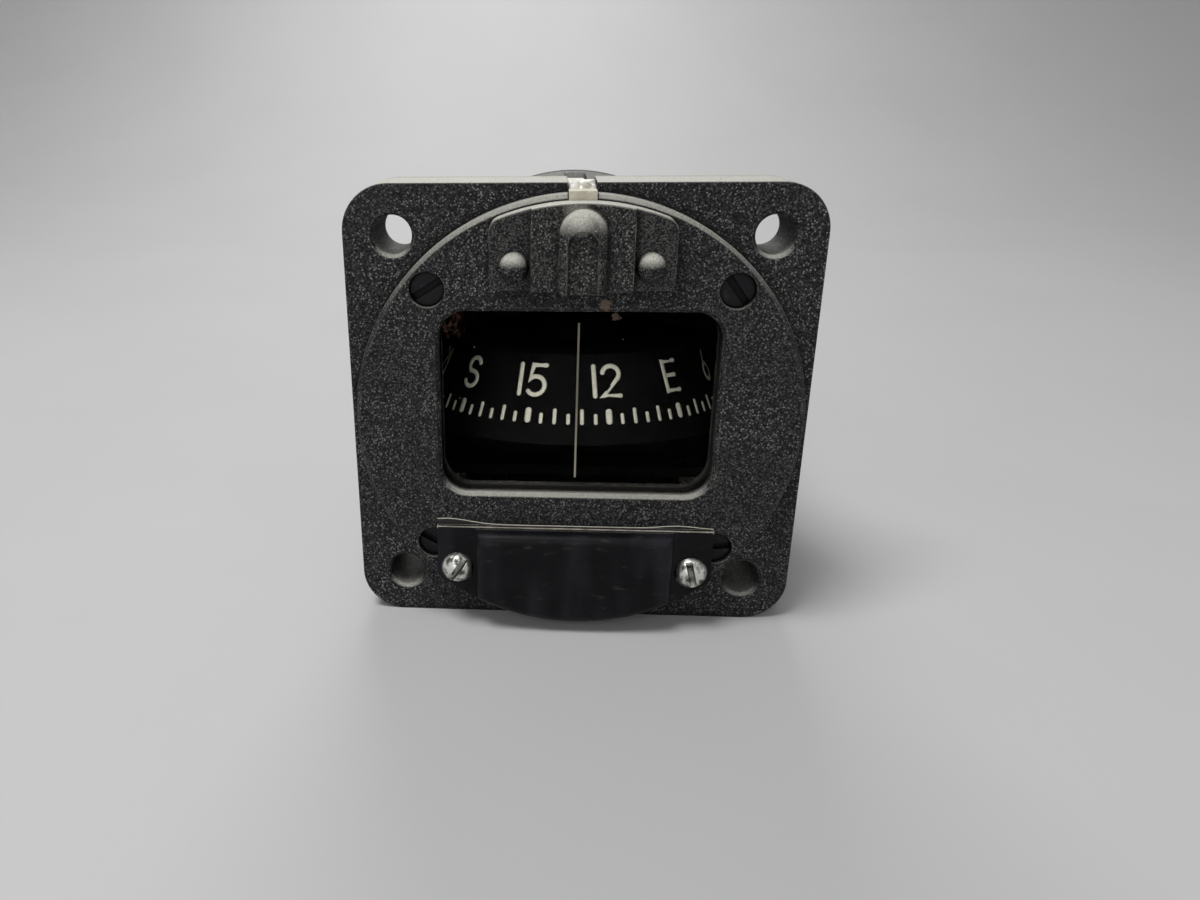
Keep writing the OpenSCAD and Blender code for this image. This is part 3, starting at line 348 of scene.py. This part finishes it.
def front_share(tree):
    """1 on the flange and in front of it, less on the case behind."""
    depth = one_axis(tree, own_place(tree), "Y")
    return between(tree, depth, *(y * MM for y in BEHIND_MM), 1.0, BEHIND_DUST)


# Where this darkens a colour, the dark in holes and corners is painted shade.
def open_share(tree, reach_mm, low, high):
    """1 on open faces, 0 deep in holes, slots and corners."""
    sky = add_node(tree, "ShaderNodeAmbientOcclusion", samples=6, Distance=reach_mm * MM)
    return between(tree, sky.outputs["AO"], low, high)


def near_point(tree, point_mm, radius_mm, rag_mm, core=0.8):
    """1 inside a ragged spot round a point, 0 outside it, fading out from its core."""
    gap = add_node(tree, "ShaderNodeVectorMath", operation="DISTANCE")
    gap.inputs[1].default_value = Vector(point_mm) * MM
    tree.links.new(own_place(tree), gap.inputs[0])
    rag = between(tree, grain(tree, radius_mm, 4), 0, 1, -rag_mm * MM, rag_mm * MM)
    ragged = reckon(tree, "ADD", gap.outputs["Value"], rag)
    return between(tree, ragged, radius_mm * MM, core * radius_mm * MM)


print("outside from", BOWL_MM[1], "mm off the axis, thinner dust from", BEHIND_MM[0], "mm back")

# %% [markdown]
# ## Paint of the castings and the lamp housing
# Sculpting the grains would take millions of faces. The cells of a Voronoi pattern stand for them
# instead: each cell is a small bump with a grey of its own, and a few are bright, painted glints.
# Over that coat come dust with a painted sheen, worn edges that are partly painted highlight, and
# chips whose primer is darkened as painted shade. The lamp housing gets a paler paint than the case,
# a painted highlight, and a pale spot on the top of its barrel is partly rubbed paint and partly
# painted highlight.

# %% Sprayed paint
GRAIN_MM, BRIGHT_SHARE = 0.21, 0.2
# The pale dust colour also stands for the sheen of top faces, a painted highlight.
DUST_AND_SHEEN, PRIMER_IN_SHADE = (0.82, 0.80, 0.71), (0.17, 0.125, 0.095)
# The chips' primer colour above is set darker as a painted shade of the lamp housing's shadow.
CHIP_MM, CHIP_R = (3.18, -3.2, 15.63), 0.75
# The pale spot on the top of the lamp barrel is partly rubbed paint and partly a painted highlight.
RUB_AND_HIGHLIGHT_MM, RUB_AND_HIGHLIGHT_R = (-0.3, -9.2, 27.3), 2.7


def cells(tree, size_mm):
    """Voronoi pattern with cells of about size_mm."""
    pattern = add_node(tree, "ShaderNodeTexVoronoi", Scale=1 / (size_mm * MM))
    tree.links.new(own_place(tree), pattern.inputs["Vector"])
    return pattern


def grit(tree, size_mm, bright_share):
    """Height of a point on its grain, the grain's grey, and 1 on a few bright grains."""
    grains = cells(tree, size_mm)
    height = between(tree, grains.outputs["Distance"], 0.8, 0.1)
    draw = add_node(tree, "ShaderNodeSeparateColor")
    tree.links.new(grains.outputs["Color"], draw.inputs["Color"])
    bright = between(tree, draw.outputs["Green"], 1 - bright_share, 1.0)
    return height, times(tree, draw.outputs["Red"], height), times(tree, bright, height)


def sprayed_paint(name, dark, lit, tip_glint, wear_and_highlight, dust_and_sheen_span, chips=(), rubs_and_highlights=()):
    """Grain with painted glints, pale edges, dust with painted sheen, painted shade, chips and rubs."""
    material, tree, shader = new_finish(name)
    height, grey, bright = grit(tree, GRAIN_MM, BRIGHT_SHARE)
    patches = between(tree, grain(tree, 7, 3), 0.35, 0.68, 0.35, 1.0)
    # Openness darkens the grain and hides its glints deep in holes and corners: painted shade.
    clean = open_share(tree, 1.2, 0.5, 0.9)
    # A few bright grains get a pale colour: painted glints of grain tips that catch the light.
    glinting_tips = times(tree, times(tree, bright, patches), clean)
    uneven = between(tree, grain(tree, 3, 5), 0.44, 0.66, 0.05, 0.8)
    # Edges are painted pale, part wear and part painted highlight of edges that catch the light.
    worn_and_lit_edges = times(tree, edge_share(tree, 0.3), uneven)
    # Openness keeps the pale dust and sheen out of holes, so they stay dark: painted shade.
    outside = times(tree, outer_share(tree), open_share(tree, 5, 0.45, 0.8))
    # Pale dust on faces that look up, which also stands for their sheen: a painted highlight.
    dust_and_sheen_place = times(tree, times(tree, upward_share(tree, *dust_and_sheen_span), outside), front_share(tree))
    for point_mm, radius_mm in rubs_and_highlights:
        dust_and_sheen_place = larger(tree, dust_and_sheen_place, near_point(tree, point_mm, radius_mm, 0.4 * radius_mm, core=0.3))
    dust_and_sheen_share = times(tree, dust_and_sheen_place, between(tree, grain(tree, 0.25, 4), 0.35, 0.65, 0.55, 0.78))
    coat = blend_colours(tree, times(tree, grey, clean), dark, lit)
    with_glints = blend_colours(tree, glinting_tips, coat, tip_glint)
    with_dust_and_sheen = blend_colours(tree, dust_and_sheen_share, with_glints, DUST_AND_SHEEN)
    colour = blend_colours(tree, worn_and_lit_edges, with_dust_and_sheen, wear_and_highlight)
    # Chips show primer, darkened as painted shade.
    for point_mm, radius_mm in chips:
        chip = near_point(tree, point_mm, radius_mm, radius_mm)
        colour = blend_colours(tree, chip, colour, PRIMER_IN_SHADE)
    tree.links.new(colour, shader.inputs["Base Color"])
    tree.links.new(between(tree, height, 0.0, 1.0, 0.45, 0.7), shader.inputs["Roughness"])
    shader.inputs["Specular IOR Level"].default_value = 0.16
    raise_surface(tree, shader, height, 0.07, 1.0, edge_mm=0.35)
    return material


case_paint = sprayed_paint("case_paint", dark=(0.004, 0.004, 0.0043), lit=(0.10, 0.10, 0.101),
                           tip_glint=(0.42, 0.42, 0.41), wear_and_highlight=(0.26, 0.255, 0.23),
                           dust_and_sheen_span=(0.35, 0.85), chips=[(CHIP_MM, CHIP_R)])
# The lamp housing gets a paler copy of the paint, with dust and sheen down to level faces: a painted
# highlight.
lamp_paint = sprayed_paint("lamp_paint", dark=(0.004, 0.004, 0.004), lit=(0.15, 0.15, 0.145),
                           tip_glint=(0.46, 0.46, 0.43), wear_and_highlight=(0.32, 0.31, 0.27),
                           dust_and_sheen_span=(0.0, 0.6), rubs_and_highlights=[(RUB_AND_HIGHLIGHT_MM, RUB_AND_HIGHLIGHT_R)])
dress(case_paint, "case_body", "front_bezel", "rear_cover")
dress(lamp_paint, "lamp_housing", "lamp_rivets")

# %% [markdown]
# ## Cover of the compensator
# The cover is pressed from sheet and dipped in a smoother, half-glossy black. Its wear is fine
# scratches along its length. A thin bright line on its upper edge is a painted highlight, broken
# where the paint is worn, and soft upright bands of paler black are a painted reflection.
# Stretched noise gives the scratches: squeezing the coordinates along X draws each lump out into a
# streak.

# %% Dipped black
cover_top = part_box("compensator_cover")[1][2]
# Height band of the painted highlight line along the cover's top edge.
LINE_FOOT, LINE_TOP = cover_top - 0.4 * MM, cover_top - 0.25 * MM


def dipped_black(name):
    """Smooth black with streaks, painted reflection bands and a painted highlight along the upper edge.
    """
    material, tree, shader = new_finish(name)
    streaks = between(tree, grain(tree, 0.5, 4, squeeze=(0.2, 1, 0.6)), 0.62, 0.80)
    clouds = grain(tree, 3.5, 4)
    height = one_axis(tree, own_place(tree), "Z")
    # A pale line along the cover's upper edge: a painted highlight, broken where the paint is worn.
    top_edge_highlight = times(tree, edge_share(tree, 0.32), between(tree, height, LINE_FOOT, LINE_TOP))
    wear_and_highlight = times(tree, top_edge_highlight, between(tree, grain(tree, 1.8, 3), 0.30, 0.55, 0.4, 1.0))
    # Soft upright bands of paler black: a painted reflection.
    reflection_bands = between(tree, grain(tree, 5, 2, squeeze=(1, 1, 0.25)), 0.45, 0.68)
    base = blend_colours(tree, clouds, (0.002, 0.002, 0.0028), (0.006, 0.006, 0.0075))
    coat = blend_colours(tree, reflection_bands, base, (0.016, 0.0165, 0.020))
    scratched = blend_colours(tree, times(tree, streaks, clouds), coat, (0.06, 0.057, 0.052))
    tree.links.new(blend_colours(tree, wear_and_highlight, scratched, (0.80, 0.75, 0.63)), shader.inputs["Base Color"])
    tree.links.new(between(tree, clouds, 0.35, 0.65, 0.32, 0.50), shader.inputs["Roughness"])
    shader.inputs["Specular IOR Level"].default_value = 0.12
    raise_surface(tree, shader, grain(tree, 0.8, 3), 0.05, 0.3, edge_mm=0.25)
    return material


dress(dipped_black("cover_black"), "compensator_cover")

# %% [markdown]
# ## Screws
# Two kinds show. The sunken screws of the disc are blackened steel, and the two round heads on
# the cover have lost most of their plating: bright on the rim, dull and stained in the middle.
# Both are metals, so their colour comes from what they reflect, and stains raise the roughness.
# Their slots are darkened to near black, a painted shade.

# %% Screw metals
def worn_metal(name, clean, stained, stain_from, rough):
    """Metal with stains where slow noise rises over stain_from, and painted shade in its slot."""
    material, tree, shader = new_finish(name)
    stain = between(tree, grain(tree, 1.0, 5), stain_from, stain_from + 0.16)
    plated = blend_colours(tree, stain, clean, stained)
    # Slots and hollows are darkened to near black: painted shade.
    bare = open_share(tree, 0.8, 0.62, 0.82)
    tree.links.new(blend_colours(tree, bare, (0.010, 0.009, 0.008), plated), shader.inputs["Base Color"])
    tree.links.new(between(tree, stain, 0, 1, rough, rough + 0.3), shader.inputs["Roughness"])
    shader.inputs["Metallic"].default_value = 1.0
    raise_surface(tree, shader, grain(tree, 0.35, 4), 0.05, 0.35, edge_mm=0.15)
    return material


bright_screw = worn_metal("bright_screw", (0.74, 0.73, 0.69), (0.09, 0.088, 0.08), 0.47, 0.30)
black_screw = worn_metal("black_screw", (0.020, 0.020, 0.022), (0.045, 0.042, 0.038), 0.55, 0.45)
dress(bright_screw, "cover_screws", "rear_cover_screws", "filler_plug")
dress(black_screw, "bezel_screws")

# %% [markdown]
# ## Window glass
# A flat pane closes the liquid in. A plain glass shader would block the lamps' direct light, and
# the card behind it would go black; letting shadow rays pass straight through lights the card. The
# pane shows no mirror image on the photograph, so a black mirror tint takes the pale room out of
# it. The case behind the pane is full of liquid, so light that has bent at the front of the pane
# stays bent: the back of the pane is left clear, and the card looks nearer and larger, as it does
# on the real one.

# %% Clear and red glass
IOR = 1.47
SPECK_GAP_MM = 2.4
STAIN_MM, STAIN_R = (-16.6, 0, 13.6), 3.4
# A dark spot on the pane at its upper edge is a painted reflection.
REFLECTION_SPOT_MM, REFLECTION_SPOT_R = (4.63, -1.6, 14.0), 0.6


def choose(tree, share, first, second):
    """Surface that goes from first to second as share goes from 0 to 1."""
    choice = add_node(tree, "ShaderNodeMixShader")
    tree.links.new(share, choice.inputs["Fac"])
    tree.links.new(first, choice.inputs[1])
    tree.links.new(second, choice.inputs[2])
    return choice.outputs["Shader"]


def cover_with(tree, surface, share, colour):
    """Surface with a dull colour over it where share is 1."""
    dull = add_node(tree, "ShaderNodeBsdfDiffuse", Color=(*colour, 1))
    return choose(tree, share, surface, dull.outputs["BSDF"])


def marks_and_reflection_on_glass(tree, surface):
    """Dust specks, a brown stain where damp got in at a corner, a painted reflection at the upper edge.
    """
    dots = between(tree, cells(tree, SPECK_GAP_MM).outputs["Distance"], 0.055, 0.035)
    some = times(tree, dots, between(tree, grain(tree, 5, 2), 0.48, 0.56))
    surface = cover_with(tree, surface, some, (0.30, 0.29, 0.26))
    blotches = between(tree, grain(tree, 0.5, 4), 0.45, 0.62)
    stain = times(tree, near_point(tree, STAIN_MM, STAIN_R, 3.0), blotches)
    surface = cover_with(tree, surface, stain, (0.055, 0.030, 0.022))
    return cover_with(tree, surface, near_point(tree, REFLECTION_SPOT_MM, REFLECTION_SPOT_R, REFLECTION_SPOT_R), (0.10, 0.07, 0.06))


def clear_glass(name, tint, rough, wet=False):
    """Glass that bends light but throws no shadow; wet glass bends it on the way in only."""
    material, tree, shader = new_finish(name)
    shader.inputs["Base Color"].default_value = (*tint, 1)
    shader.inputs["Transmission Weight"].default_value = 1.0
    shader.inputs["IOR"].default_value = IOR
    shader.inputs["Specular Tint"].default_value = (0, 0, 0, 1)
    smears = between(tree, grain(tree, 9, 5), 0.45, 0.75, rough, rough + 0.05)
    tree.links.new(smears, shader.inputs["Roughness"])
    surface = shader.outputs["BSDF"]
    if wet:
        surface = marks_and_reflection_on_glass(tree, surface)
    open_air = add_node(tree, "ShaderNodeBsdfTransparent", Color=(*tint, 1))
    passing = add_node(tree, "ShaderNodeLightPath").outputs["Is Shadow Ray"]
    if wet:
        leaving = add_node(tree, "ShaderNodeNewGeometry").outputs["Backfacing"]
        passing = larger(tree, passing, leaving)
    glass = choose(tree, passing, surface, open_air.outputs["BSDF"])
    tree.links.new(glass, tree.nodes["Material Output"].inputs["Surface"])
    return material


dress(clear_glass("window_glass", (0.97, 0.96, 0.93), 0.02, wet=True), "window_glass")
dress(clear_glass("lamp_glass", (0.95, 0.94, 0.90), 0.04), "lamp_bulb")
dress(clear_glass("filter_glass", (0.70, 0.06, 0.04), 0.06), "lamp_filter")

# %% [markdown]
# ## Card and inner works
# The card is matt black enamel on thin sheet, and so are the float and the bridge below it, since
# anything bright there would show through the window. The rest is brass, hard steel, magnet steel,
# rubber and fibre. Little of it is seen, yet each piece gets a finish of its own kind, since the
# part can be opened up. All of them come from one short function.

# %% Plain finishes of the inner pieces
def plain_finish(name, low, high, lump_mm, rough, metal=0.0, bump_mm=0.02, sheen=0.5):
    """Two close colours in slow noise, with a light bump."""
    material, tree, shader = new_finish(name)
    lumps = grain(tree, lump_mm, 4)
    colour = blend_colours(tree, between(tree, lumps, 0.35, 0.65), low, high)
    tree.links.new(colour, shader.inputs["Base Color"])
    tree.links.new(between(tree, lumps, 0.3, 0.7, rough - 0.07, rough + 0.07), shader.inputs["Roughness"])
    shader.inputs["Metallic"].default_value = metal
    shader.inputs["Specular IOR Level"].default_value = sheen
    raise_surface(tree, shader, grain(tree, lump_mm / 3, 3), bump_mm, 0.4, edge_mm=0.1)
    return material


dress(plain_finish("card_enamel", (0.0025, 0.0025, 0.003), (0.005, 0.005, 0.0055), 2.2, 0.85, sheen=0.08),
      "compass_card")
dress(plain_finish("float_enamel", (0.003, 0.003, 0.003), (0.006, 0.006, 0.0055), 2.0, 0.8, sheen=0.1),
      "card_float", "pivot_bridge", "pivot_post", "bridge_screws")
dress(plain_finish("brass", (0.52, 0.38, 0.16), (0.64, 0.49, 0.23), 1.6, 0.34, 1.0),
      "compensator_frame", "compensator_plate", "ew_adjuster", "ew_wheel_left", "ew_wheel_right",
      "ns_adjuster", "ns_wheel", "magnet_carrier", "jewel_retainer", "lamp_socket")
dress(plain_finish("magnet_steel", (0.17, 0.175, 0.19), (0.24, 0.245, 0.26), 1.2, 0.38, 1.0),
      "ew_magnet_left", "ew_magnet_right", "ns_magnet_front", "ns_magnet_mate", "card_magnets")
dress(plain_finish("hard_steel", (0.48, 0.49, 0.50), (0.60, 0.61, 0.62), 0.8, 0.22, 1.0),
      "pivot_tip", "pivot_pin", "jewel_spring")
dress(plain_finish("sapphire", (0.22, 0.02, 0.06), (0.30, 0.03, 0.09), 0.6, 0.12), "jewel_cup")
dress(plain_finish("black_rubber", (0.010, 0.010, 0.010), (0.020, 0.020, 0.019), 0.9, 0.75),
      "window_gasket", "diaphragm")
dress(plain_finish("red_fibre", (0.17, 0.06, 0.03), (0.25, 0.10, 0.05), 0.5, 0.7), "filler_washer")
dress(plain_finish("oiled_fibre", (0.005, 0.004, 0.004), (0.010, 0.008, 0.007), 0.5, 0.8), "rear_gasket")

# %% [markdown]
# ## Lead, sheet and paint line
# The lamp lead is a tinned strip that ends in a drop of solder, on a strip of pale fibre. The sheet
# behind the lower cover is pale stock with a black face, and its thin cut edge shows as a bright
# line; the direction that a face looks in tells the edge from the face. Its rounded edges that look
# up are made pale too, a painted highlight. The lubber line is cream paint on the middle of its
# piece only, a stripe that the distance from the middle gives.

# %% Lead, sheet and cream paint
LINE_EDGE_MM, LINE_CORE_MM = 0.145, 0.115

dress(plain_finish("tinned_strip", (0.50, 0.47, 0.38), (0.66, 0.62, 0.52), 0.7, 0.42, 0.35), "lamp_lead")
cream_paint = plain_finish("cream_paint", (0.66, 0.66, 0.58), (0.78, 0.78, 0.70), 0.5, 0.6)

line_finish, tree, shader = new_finish("lubber_paint")
aside = reckon(tree, "ABSOLUTE", one_axis(tree, own_place(tree), "X"))
painted = between(tree, aside, LINE_EDGE_MM * MM, LINE_CORE_MM * MM)
cream = blend_colours(tree, grain(tree, 0.6, 3), (0.84, 0.79, 0.66), (0.94, 0.90, 0.78))
tree.links.new(blend_colours(tree, painted, (0.006, 0.006, 0.006), cream), shader.inputs["Base Color"])
shader.inputs["Roughness"].default_value = 0.6
shader.inputs["Specular IOR Level"].default_value = 0.1
dress(line_finish, "lubber_line")
dress(plain_finish("pale_fibre", (0.56, 0.52, 0.41), (0.74, 0.70, 0.58), 0.9, 0.7), "lead_insulator")

sheet_finish, tree, shader = new_finish("black_faced_sheet")
forward = one_axis(tree, add_node(tree, "ShaderNodeNewGeometry").outputs["Normal"], "Y")
# Faces that do not look forward are pale stock; edges that look up are pale too, a painted highlight.
cut_and_lit_edge = larger(tree, between(tree, forward, -0.9, -0.5),
                  times(tree, edge_share(tree, 0.16), upward_share(tree, 0.05, 0.3)))
stock = blend_colours(tree, grain(tree, 0.6, 3), (0.70, 0.66, 0.54), (0.86, 0.83, 0.72))
tree.links.new(blend_colours(tree, cut_and_lit_edge, (0.012, 0.0115, 0.0105), stock), shader.inputs["Base Color"])
tree.links.new(between(tree, grain(tree, 1.5, 4), 0.3, 0.7, 0.45, 0.7), shader.inputs["Roughness"])
dress(sheet_finish, "cover_gasket")

# %% [markdown]
# ## Varnish in the notch
# Where the lead crosses the flange, its soldered end lies under pale old varnish that was dripped
# into the notch. A ball or a block would look machined. A grid is bent instead: its height follows
# a hump along the notch and a crown across it, with slow waves for the drips and a dip that leaves
# the solder bare, and a flat underside closes it.

# %% Varnish lump
strip_low, strip_high = (Vector(corner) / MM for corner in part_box("lead_insulator"))
LUMP_HALF_W = strip_high.x
LUMP_FRONT, LUMP_BACK = 0.05, 17.0
FRONT_RISE, BACK_FALL = 1.1, 3
FLANGE_BACK, STEP_LEN, STEP_DROP = 5.0, 2.5, 0.55
CROWN_DROP, THINNEST = 0.10, 0.04
DIP_DEPTH, DIP_Y, DIP_LEN, DIP_SIDE, DIP_W = 0.40, 1.3, 1.1, 0.25, 0.45
LUMP_FOOT = strip_low.z + 0.5
LUMP_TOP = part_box("lamp_lead")[1][2] / MM
ALONG, ACROSS = 56, 18


def lump_height(y, across):
    """Height of the lump from 0 to 1, at a depth y in mm and a place across it (-1 to 1)."""
    rise = min(1, (y - LUMP_FRONT) / FRONT_RISE) ** 0.5 * min(1, (LUMP_BACK - y) / BACK_FALL) ** 0.6
    behind = max(0, min(1, (y - FLANGE_BACK) / STEP_LEN))
    step = 1 - STEP_DROP * behind * behind * (3 - 2 * behind)
    crown = 1 - CROWN_DROP * abs(across) ** 4
    drips = 0.07 * math.sin(1.3 * y + 2.2 * across) + 0.05 * math.sin(4.5 * across - 1.8 * y)
    dip = DIP_DEPTH * math.exp(-((y - DIP_Y) / DIP_LEN) ** 2 - ((across - DIP_SIDE) / DIP_W) ** 2)
    return max(THINNEST, min(1, rise * step * (crown + drips - dip)))


lump = bmesh.new()
tops, feet = [], []
for row in range(ALONG + 1):
    y = LUMP_FRONT + (LUMP_BACK - LUMP_FRONT) * row / ALONG
    tops.append([])
    feet.append([])
    for column in range(ACROSS + 1):
        across = 2 * column / ACROSS - 1
        x = LUMP_HALF_W * across
        top = LUMP_FOOT + (LUMP_TOP - LUMP_FOOT) * lump_height(y, across)
        tops[-1].append(lump.verts.new(Vector((x, y, top)) * MM))
        feet[-1].append(lump.verts.new(Vector((x, y, LUMP_FOOT)) * MM))
for row in range(ALONG):
    for column in range(ACROSS):
        for grid in (tops, feet):
            lump.faces.new((grid[row][column], grid[row][column + 1],
                            grid[row + 1][column + 1], grid[row + 1][column]))
rim = [(0, column) for column in range(ACROSS)] + [(row, ACROSS) for row in range(ALONG)]
rim += [(ALONG, column) for column in range(ACROSS, 0, -1)] + [(row, 0) for row in range(ALONG, 0, -1)]
for (row, column), (next_row, next_column) in zip(rim, rim[1:] + rim[:1]):
    lump.faces.new((feet[row][column], feet[next_row][next_column],
                    tops[next_row][next_column], tops[row][column]))
bmesh.ops.recalc_face_normals(lump, faces=lump.faces)
for face in lump.faces:
    face.smooth = True
lead_varnish = mesh_object("lead_varnish", lump)
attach(lead_varnish, "case")
print("lead_varnish", len(lead_varnish.data.polygons), "faces, top at", round(LUMP_TOP, 2), "mm")

# %% [markdown]
# ## Old varnish
# Dried varnish is milky, with a glassy skin, and browner where it is thick. Two near colours in
# noise give the milk, and one soft spot in front gives the brown.

# %% Varnish finish
RESIN_MM, RESIN_R = (-0.9, 0.2, 28.1), 1.0
varnish, tree, shader = new_finish("old_varnish")
clouds = between(tree, grain(tree, 1.3, 4), 0.38, 0.62)
milky = blend_colours(tree, clouds, (0.52, 0.51, 0.45), (0.84, 0.83, 0.76))
resin = near_point(tree, RESIN_MM, RESIN_R, 0.6, core=0.2)
tree.links.new(blend_colours(tree, resin, milky, (0.30, 0.25, 0.11)), shader.inputs["Base Color"])
shader.inputs["Roughness"].default_value = 0.36
raise_surface(tree, shader, grain(tree, 0.7, 3), 0.08, 0.6)
lead_varnish.data.materials.append(varnish)
print(varnish.name, "on", lead_varnish.name)

# %% [markdown]
# ## Scale of the card
# The marks are printed on the sloping face of the card, so they have to follow its cone. Each
# stroke is drawn flat, as a path with a width, and made into a low bead with round ends; a
# second function then lays it on the cone by height up the slope and angle round the axis.
# A font would be quicker, but the real figures are drawn with one even line, like a stencil.

# %% Laying a stroke on the cone
card_low, card_high = (Vector(corner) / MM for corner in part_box("compass_card"))
CARD_R = (card_high.x - card_low.x) / 2
CARD_Y = (card_low.y + card_high.y) / 2
CARD_FOOT_Z = card_low.z
CARD_LEAN = math.radians(23.4)
SHOWN_READING = 132.3
BEAD_H, BEAD_SIDES = 0.035, 8
CAP_STEPS, CAP_REACH = (0.15, 0.5, 0.8), 0.9


def on_card(reading, side, up, lift):
    """Point on the card: side runs right and up runs up the slope, in mm from the reading's foot."""
    radius = CARD_R - up * math.sin(CARD_LEAN) + lift * math.cos(CARD_LEAN)
    angle = math.radians(SHOWN_READING - reading) + side / radius
    height = CARD_FOOT_Z + up * math.cos(CARD_LEAN) + lift * math.sin(CARD_LEAN)
    return Vector((radius * math.sin(angle), CARD_Y - radius * math.cos(angle), height)) * MM


def cap_ring(end, way, half, step, outward):
    """Ring of a stroke's round end: step is near 0 at the tip and 1 where the end begins."""
    angle = step * math.pi / 2
    return end + way * half * math.cos(angle) * CAP_REACH * outward, way, half * math.sin(angle)


def stroke_rings(points, width):
    """Middle, sideways direction and half width of each ring of a bead with round ends."""
    path = [Vector(point) for point in points]
    ways = [(b - a).normalized() for a, b in zip(path, path[1:])]
    half = width / 2
    rings = [cap_ring(path[0], ways[0], half, step, -1) for step in CAP_STEPS]
    for index, point in enumerate(path):
        before, after = ways[max(index - 1, 0)], ways[min(index, len(ways) - 1)]
        way = (before + after).normalized()
        rings.append((point, way, half / max(way.dot(after), 0.5)))
    return rings + [cap_ring(path[-1], ways[-1], half, step, 1) for step in reversed(CAP_STEPS)]


def add_stroke(mesh, reading, points, width):
    """Adds one bead along points (side, up) at a reading of the card."""
    loops = []
    for middle, way, half in stroke_rings(points, width):
        across = Vector((way.y, -way.x))
        loop = []
        for part in range(BEAD_SIDES):
            angle = math.tau * part / BEAD_SIDES
            spot = middle + across * half * math.cos(angle)
            loop.append(mesh.verts.new(on_card(reading, spot.x, spot.y, BEAD_H * math.sin(angle))))
        loops.append(loop)
    for first, second in zip(loops, loops[1:]):
        for part in range(BEAD_SIDES):
            side = (first[part], first[part - 1], second[part - 1], second[part])
            mesh.faces.new(side).smooth = True
    mesh.faces.new(loops[0])
    mesh.faces.new(reversed(loops[-1]))


def scale_piece(name, strokes):
    """One piece that holds many strokes, each given as reading, points and width."""
    mesh = bmesh.new()
    for reading, points, width in strokes:
        add_stroke(mesh, reading, points, width)
    bmesh.ops.recalc_face_normals(mesh, faces=mesh.faces)
    piece = mesh_object(name, mesh)
    piece.data.materials.append(cream_paint)
    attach(piece, "card")
    print(name, len(strokes), "strokes", len(piece.data.polygons), "faces")


print("card radius", round(CARD_R, 2), "mm, reading", SHOWN_READING, "in front")

# %% [markdown]
# ## Ticks
# There is a tick every five degrees. All stand on one line; every second one is taller, and those
# that carry a figure are as tall but broad.

# %% Ticks
TICK_FOOT = 2.95
SHORT_TICK, LONG_TICK = 1.65, 2.35
THIN_LINE, BROAD_LINE = 0.55, 0.95


def tick(reading):
    """Stroke of the tick at a reading."""
    width = BROAD_LINE if reading % 30 == 0 else THIN_LINE
    length = SHORT_TICK if reading % 10 else LONG_TICK
    return reading, [(0, TICK_FOOT + width / 2), (0, TICK_FOOT + length - width / 2)], width


scale_piece("scale_ticks", [tick(reading) for reading in range(0, 360, 5)])

# %% [markdown]
# ## Figures
# Figures stand every thirty degrees, without their last nought, with letters for the four
# quarters. Each is a few straight lines and arcs in a box one unit high.

# %% Figures and letters
def arc(x, y, rx, ry, start, end, steps=12):
    """Points of an arc round (x, y) from one angle to another."""
    turns = [math.radians(start + (end - start) * i / steps) for i in range(steps + 1)]
    return [(x + rx * math.cos(turn), y + ry * math.sin(turn)) for turn in turns]


FIGURES = {
    "0": (0.54, [arc(0.27, 0.5, 0.27, 0.5, 90, 449, 28)]),
    "1": (0.0, [[(0, 0), (0, 1)]]),
    "2": (0.54, [arc(0.27, 0.73, 0.27, 0.27, 170, -35) + [(0, 0), (0.56, 0)]]),
    "3": (0.54, [arc(0.25, 0.76, 0.24, 0.24, 150, -90), arc(0.25, 0.26, 0.28, 0.26, 90, -150)]),
    "4": (0.58, [[(0.42, 0), (0.42, 1), (0, 0.28), (0.58, 0.28)]]),
    "5": (0.56, [[(0.54, 1), (0.12, 1), (0.06, 0.52)] + arc(0.26, 0.31, 0.30, 0.31, 122, -140)]),
    "6": (0.56, [[(0.44, 1)] + arc(0.28, 0.29, 0.28, 0.29, 160, 519, 26)]),
    "N": (0.58, [[(0, 0), (0, 1)], [(0, 1), (0.58, 0)], [(0.58, 0), (0.58, 1)]]),
    "E": (0.52, [[(0.52, 1), (0, 1), (0, 0), (0.52, 0)], [(0, 0.52), (0.42, 0.52)]]),
    "S": (0.54, [arc(0.27, 0.75, 0.25, 0.25, 20, 240, 12) + arc(0.27, 0.26, 0.28, 0.26, 80, -160, 12)]),
    "W": (0.84, [[(0, 1), (0.2, 0), (0.42, 0.86), (0.64, 0), (0.84, 1)]]),
}
MARKS = {0: "N", 30: "3", 60: "6", 90: "E", 120: "12", 150: "15",
         180: "S", 210: "21", 240: "24", 270: "W", 300: "30", 330: "33"}
FIGURE_FOOT, FIGURE_H, FIGURE_LINE, FIGURE_GAP = 7.1, 4.3, 0.68, 0.27


def figure_strokes(reading, text):
    """Strokes of a mark, centred on its reading."""
    total = sum(FIGURES[sign][0] for sign in text) + FIGURE_GAP * (len(text) - 1)
    left, strokes = -total / 2, []
    for sign in text:
        width, paths = FIGURES[sign]
        for path in paths:
            points = [((left + x) * FIGURE_H, FIGURE_FOOT + y * FIGURE_H) for x, y in path]
            strokes.append((reading, points, FIGURE_LINE))
        left += width + FIGURE_GAP
    return strokes


scale_piece("scale_figures", [stroke for reading, text in MARKS.items()
                              for stroke in figure_strokes(reading, text)])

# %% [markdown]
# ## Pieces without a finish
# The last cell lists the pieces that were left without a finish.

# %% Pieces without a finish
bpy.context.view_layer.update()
bare = [item.name for item in bpy.data.objects if item.type == "MESH" and not item.data.materials]
print("pieces without a finish:", bare)
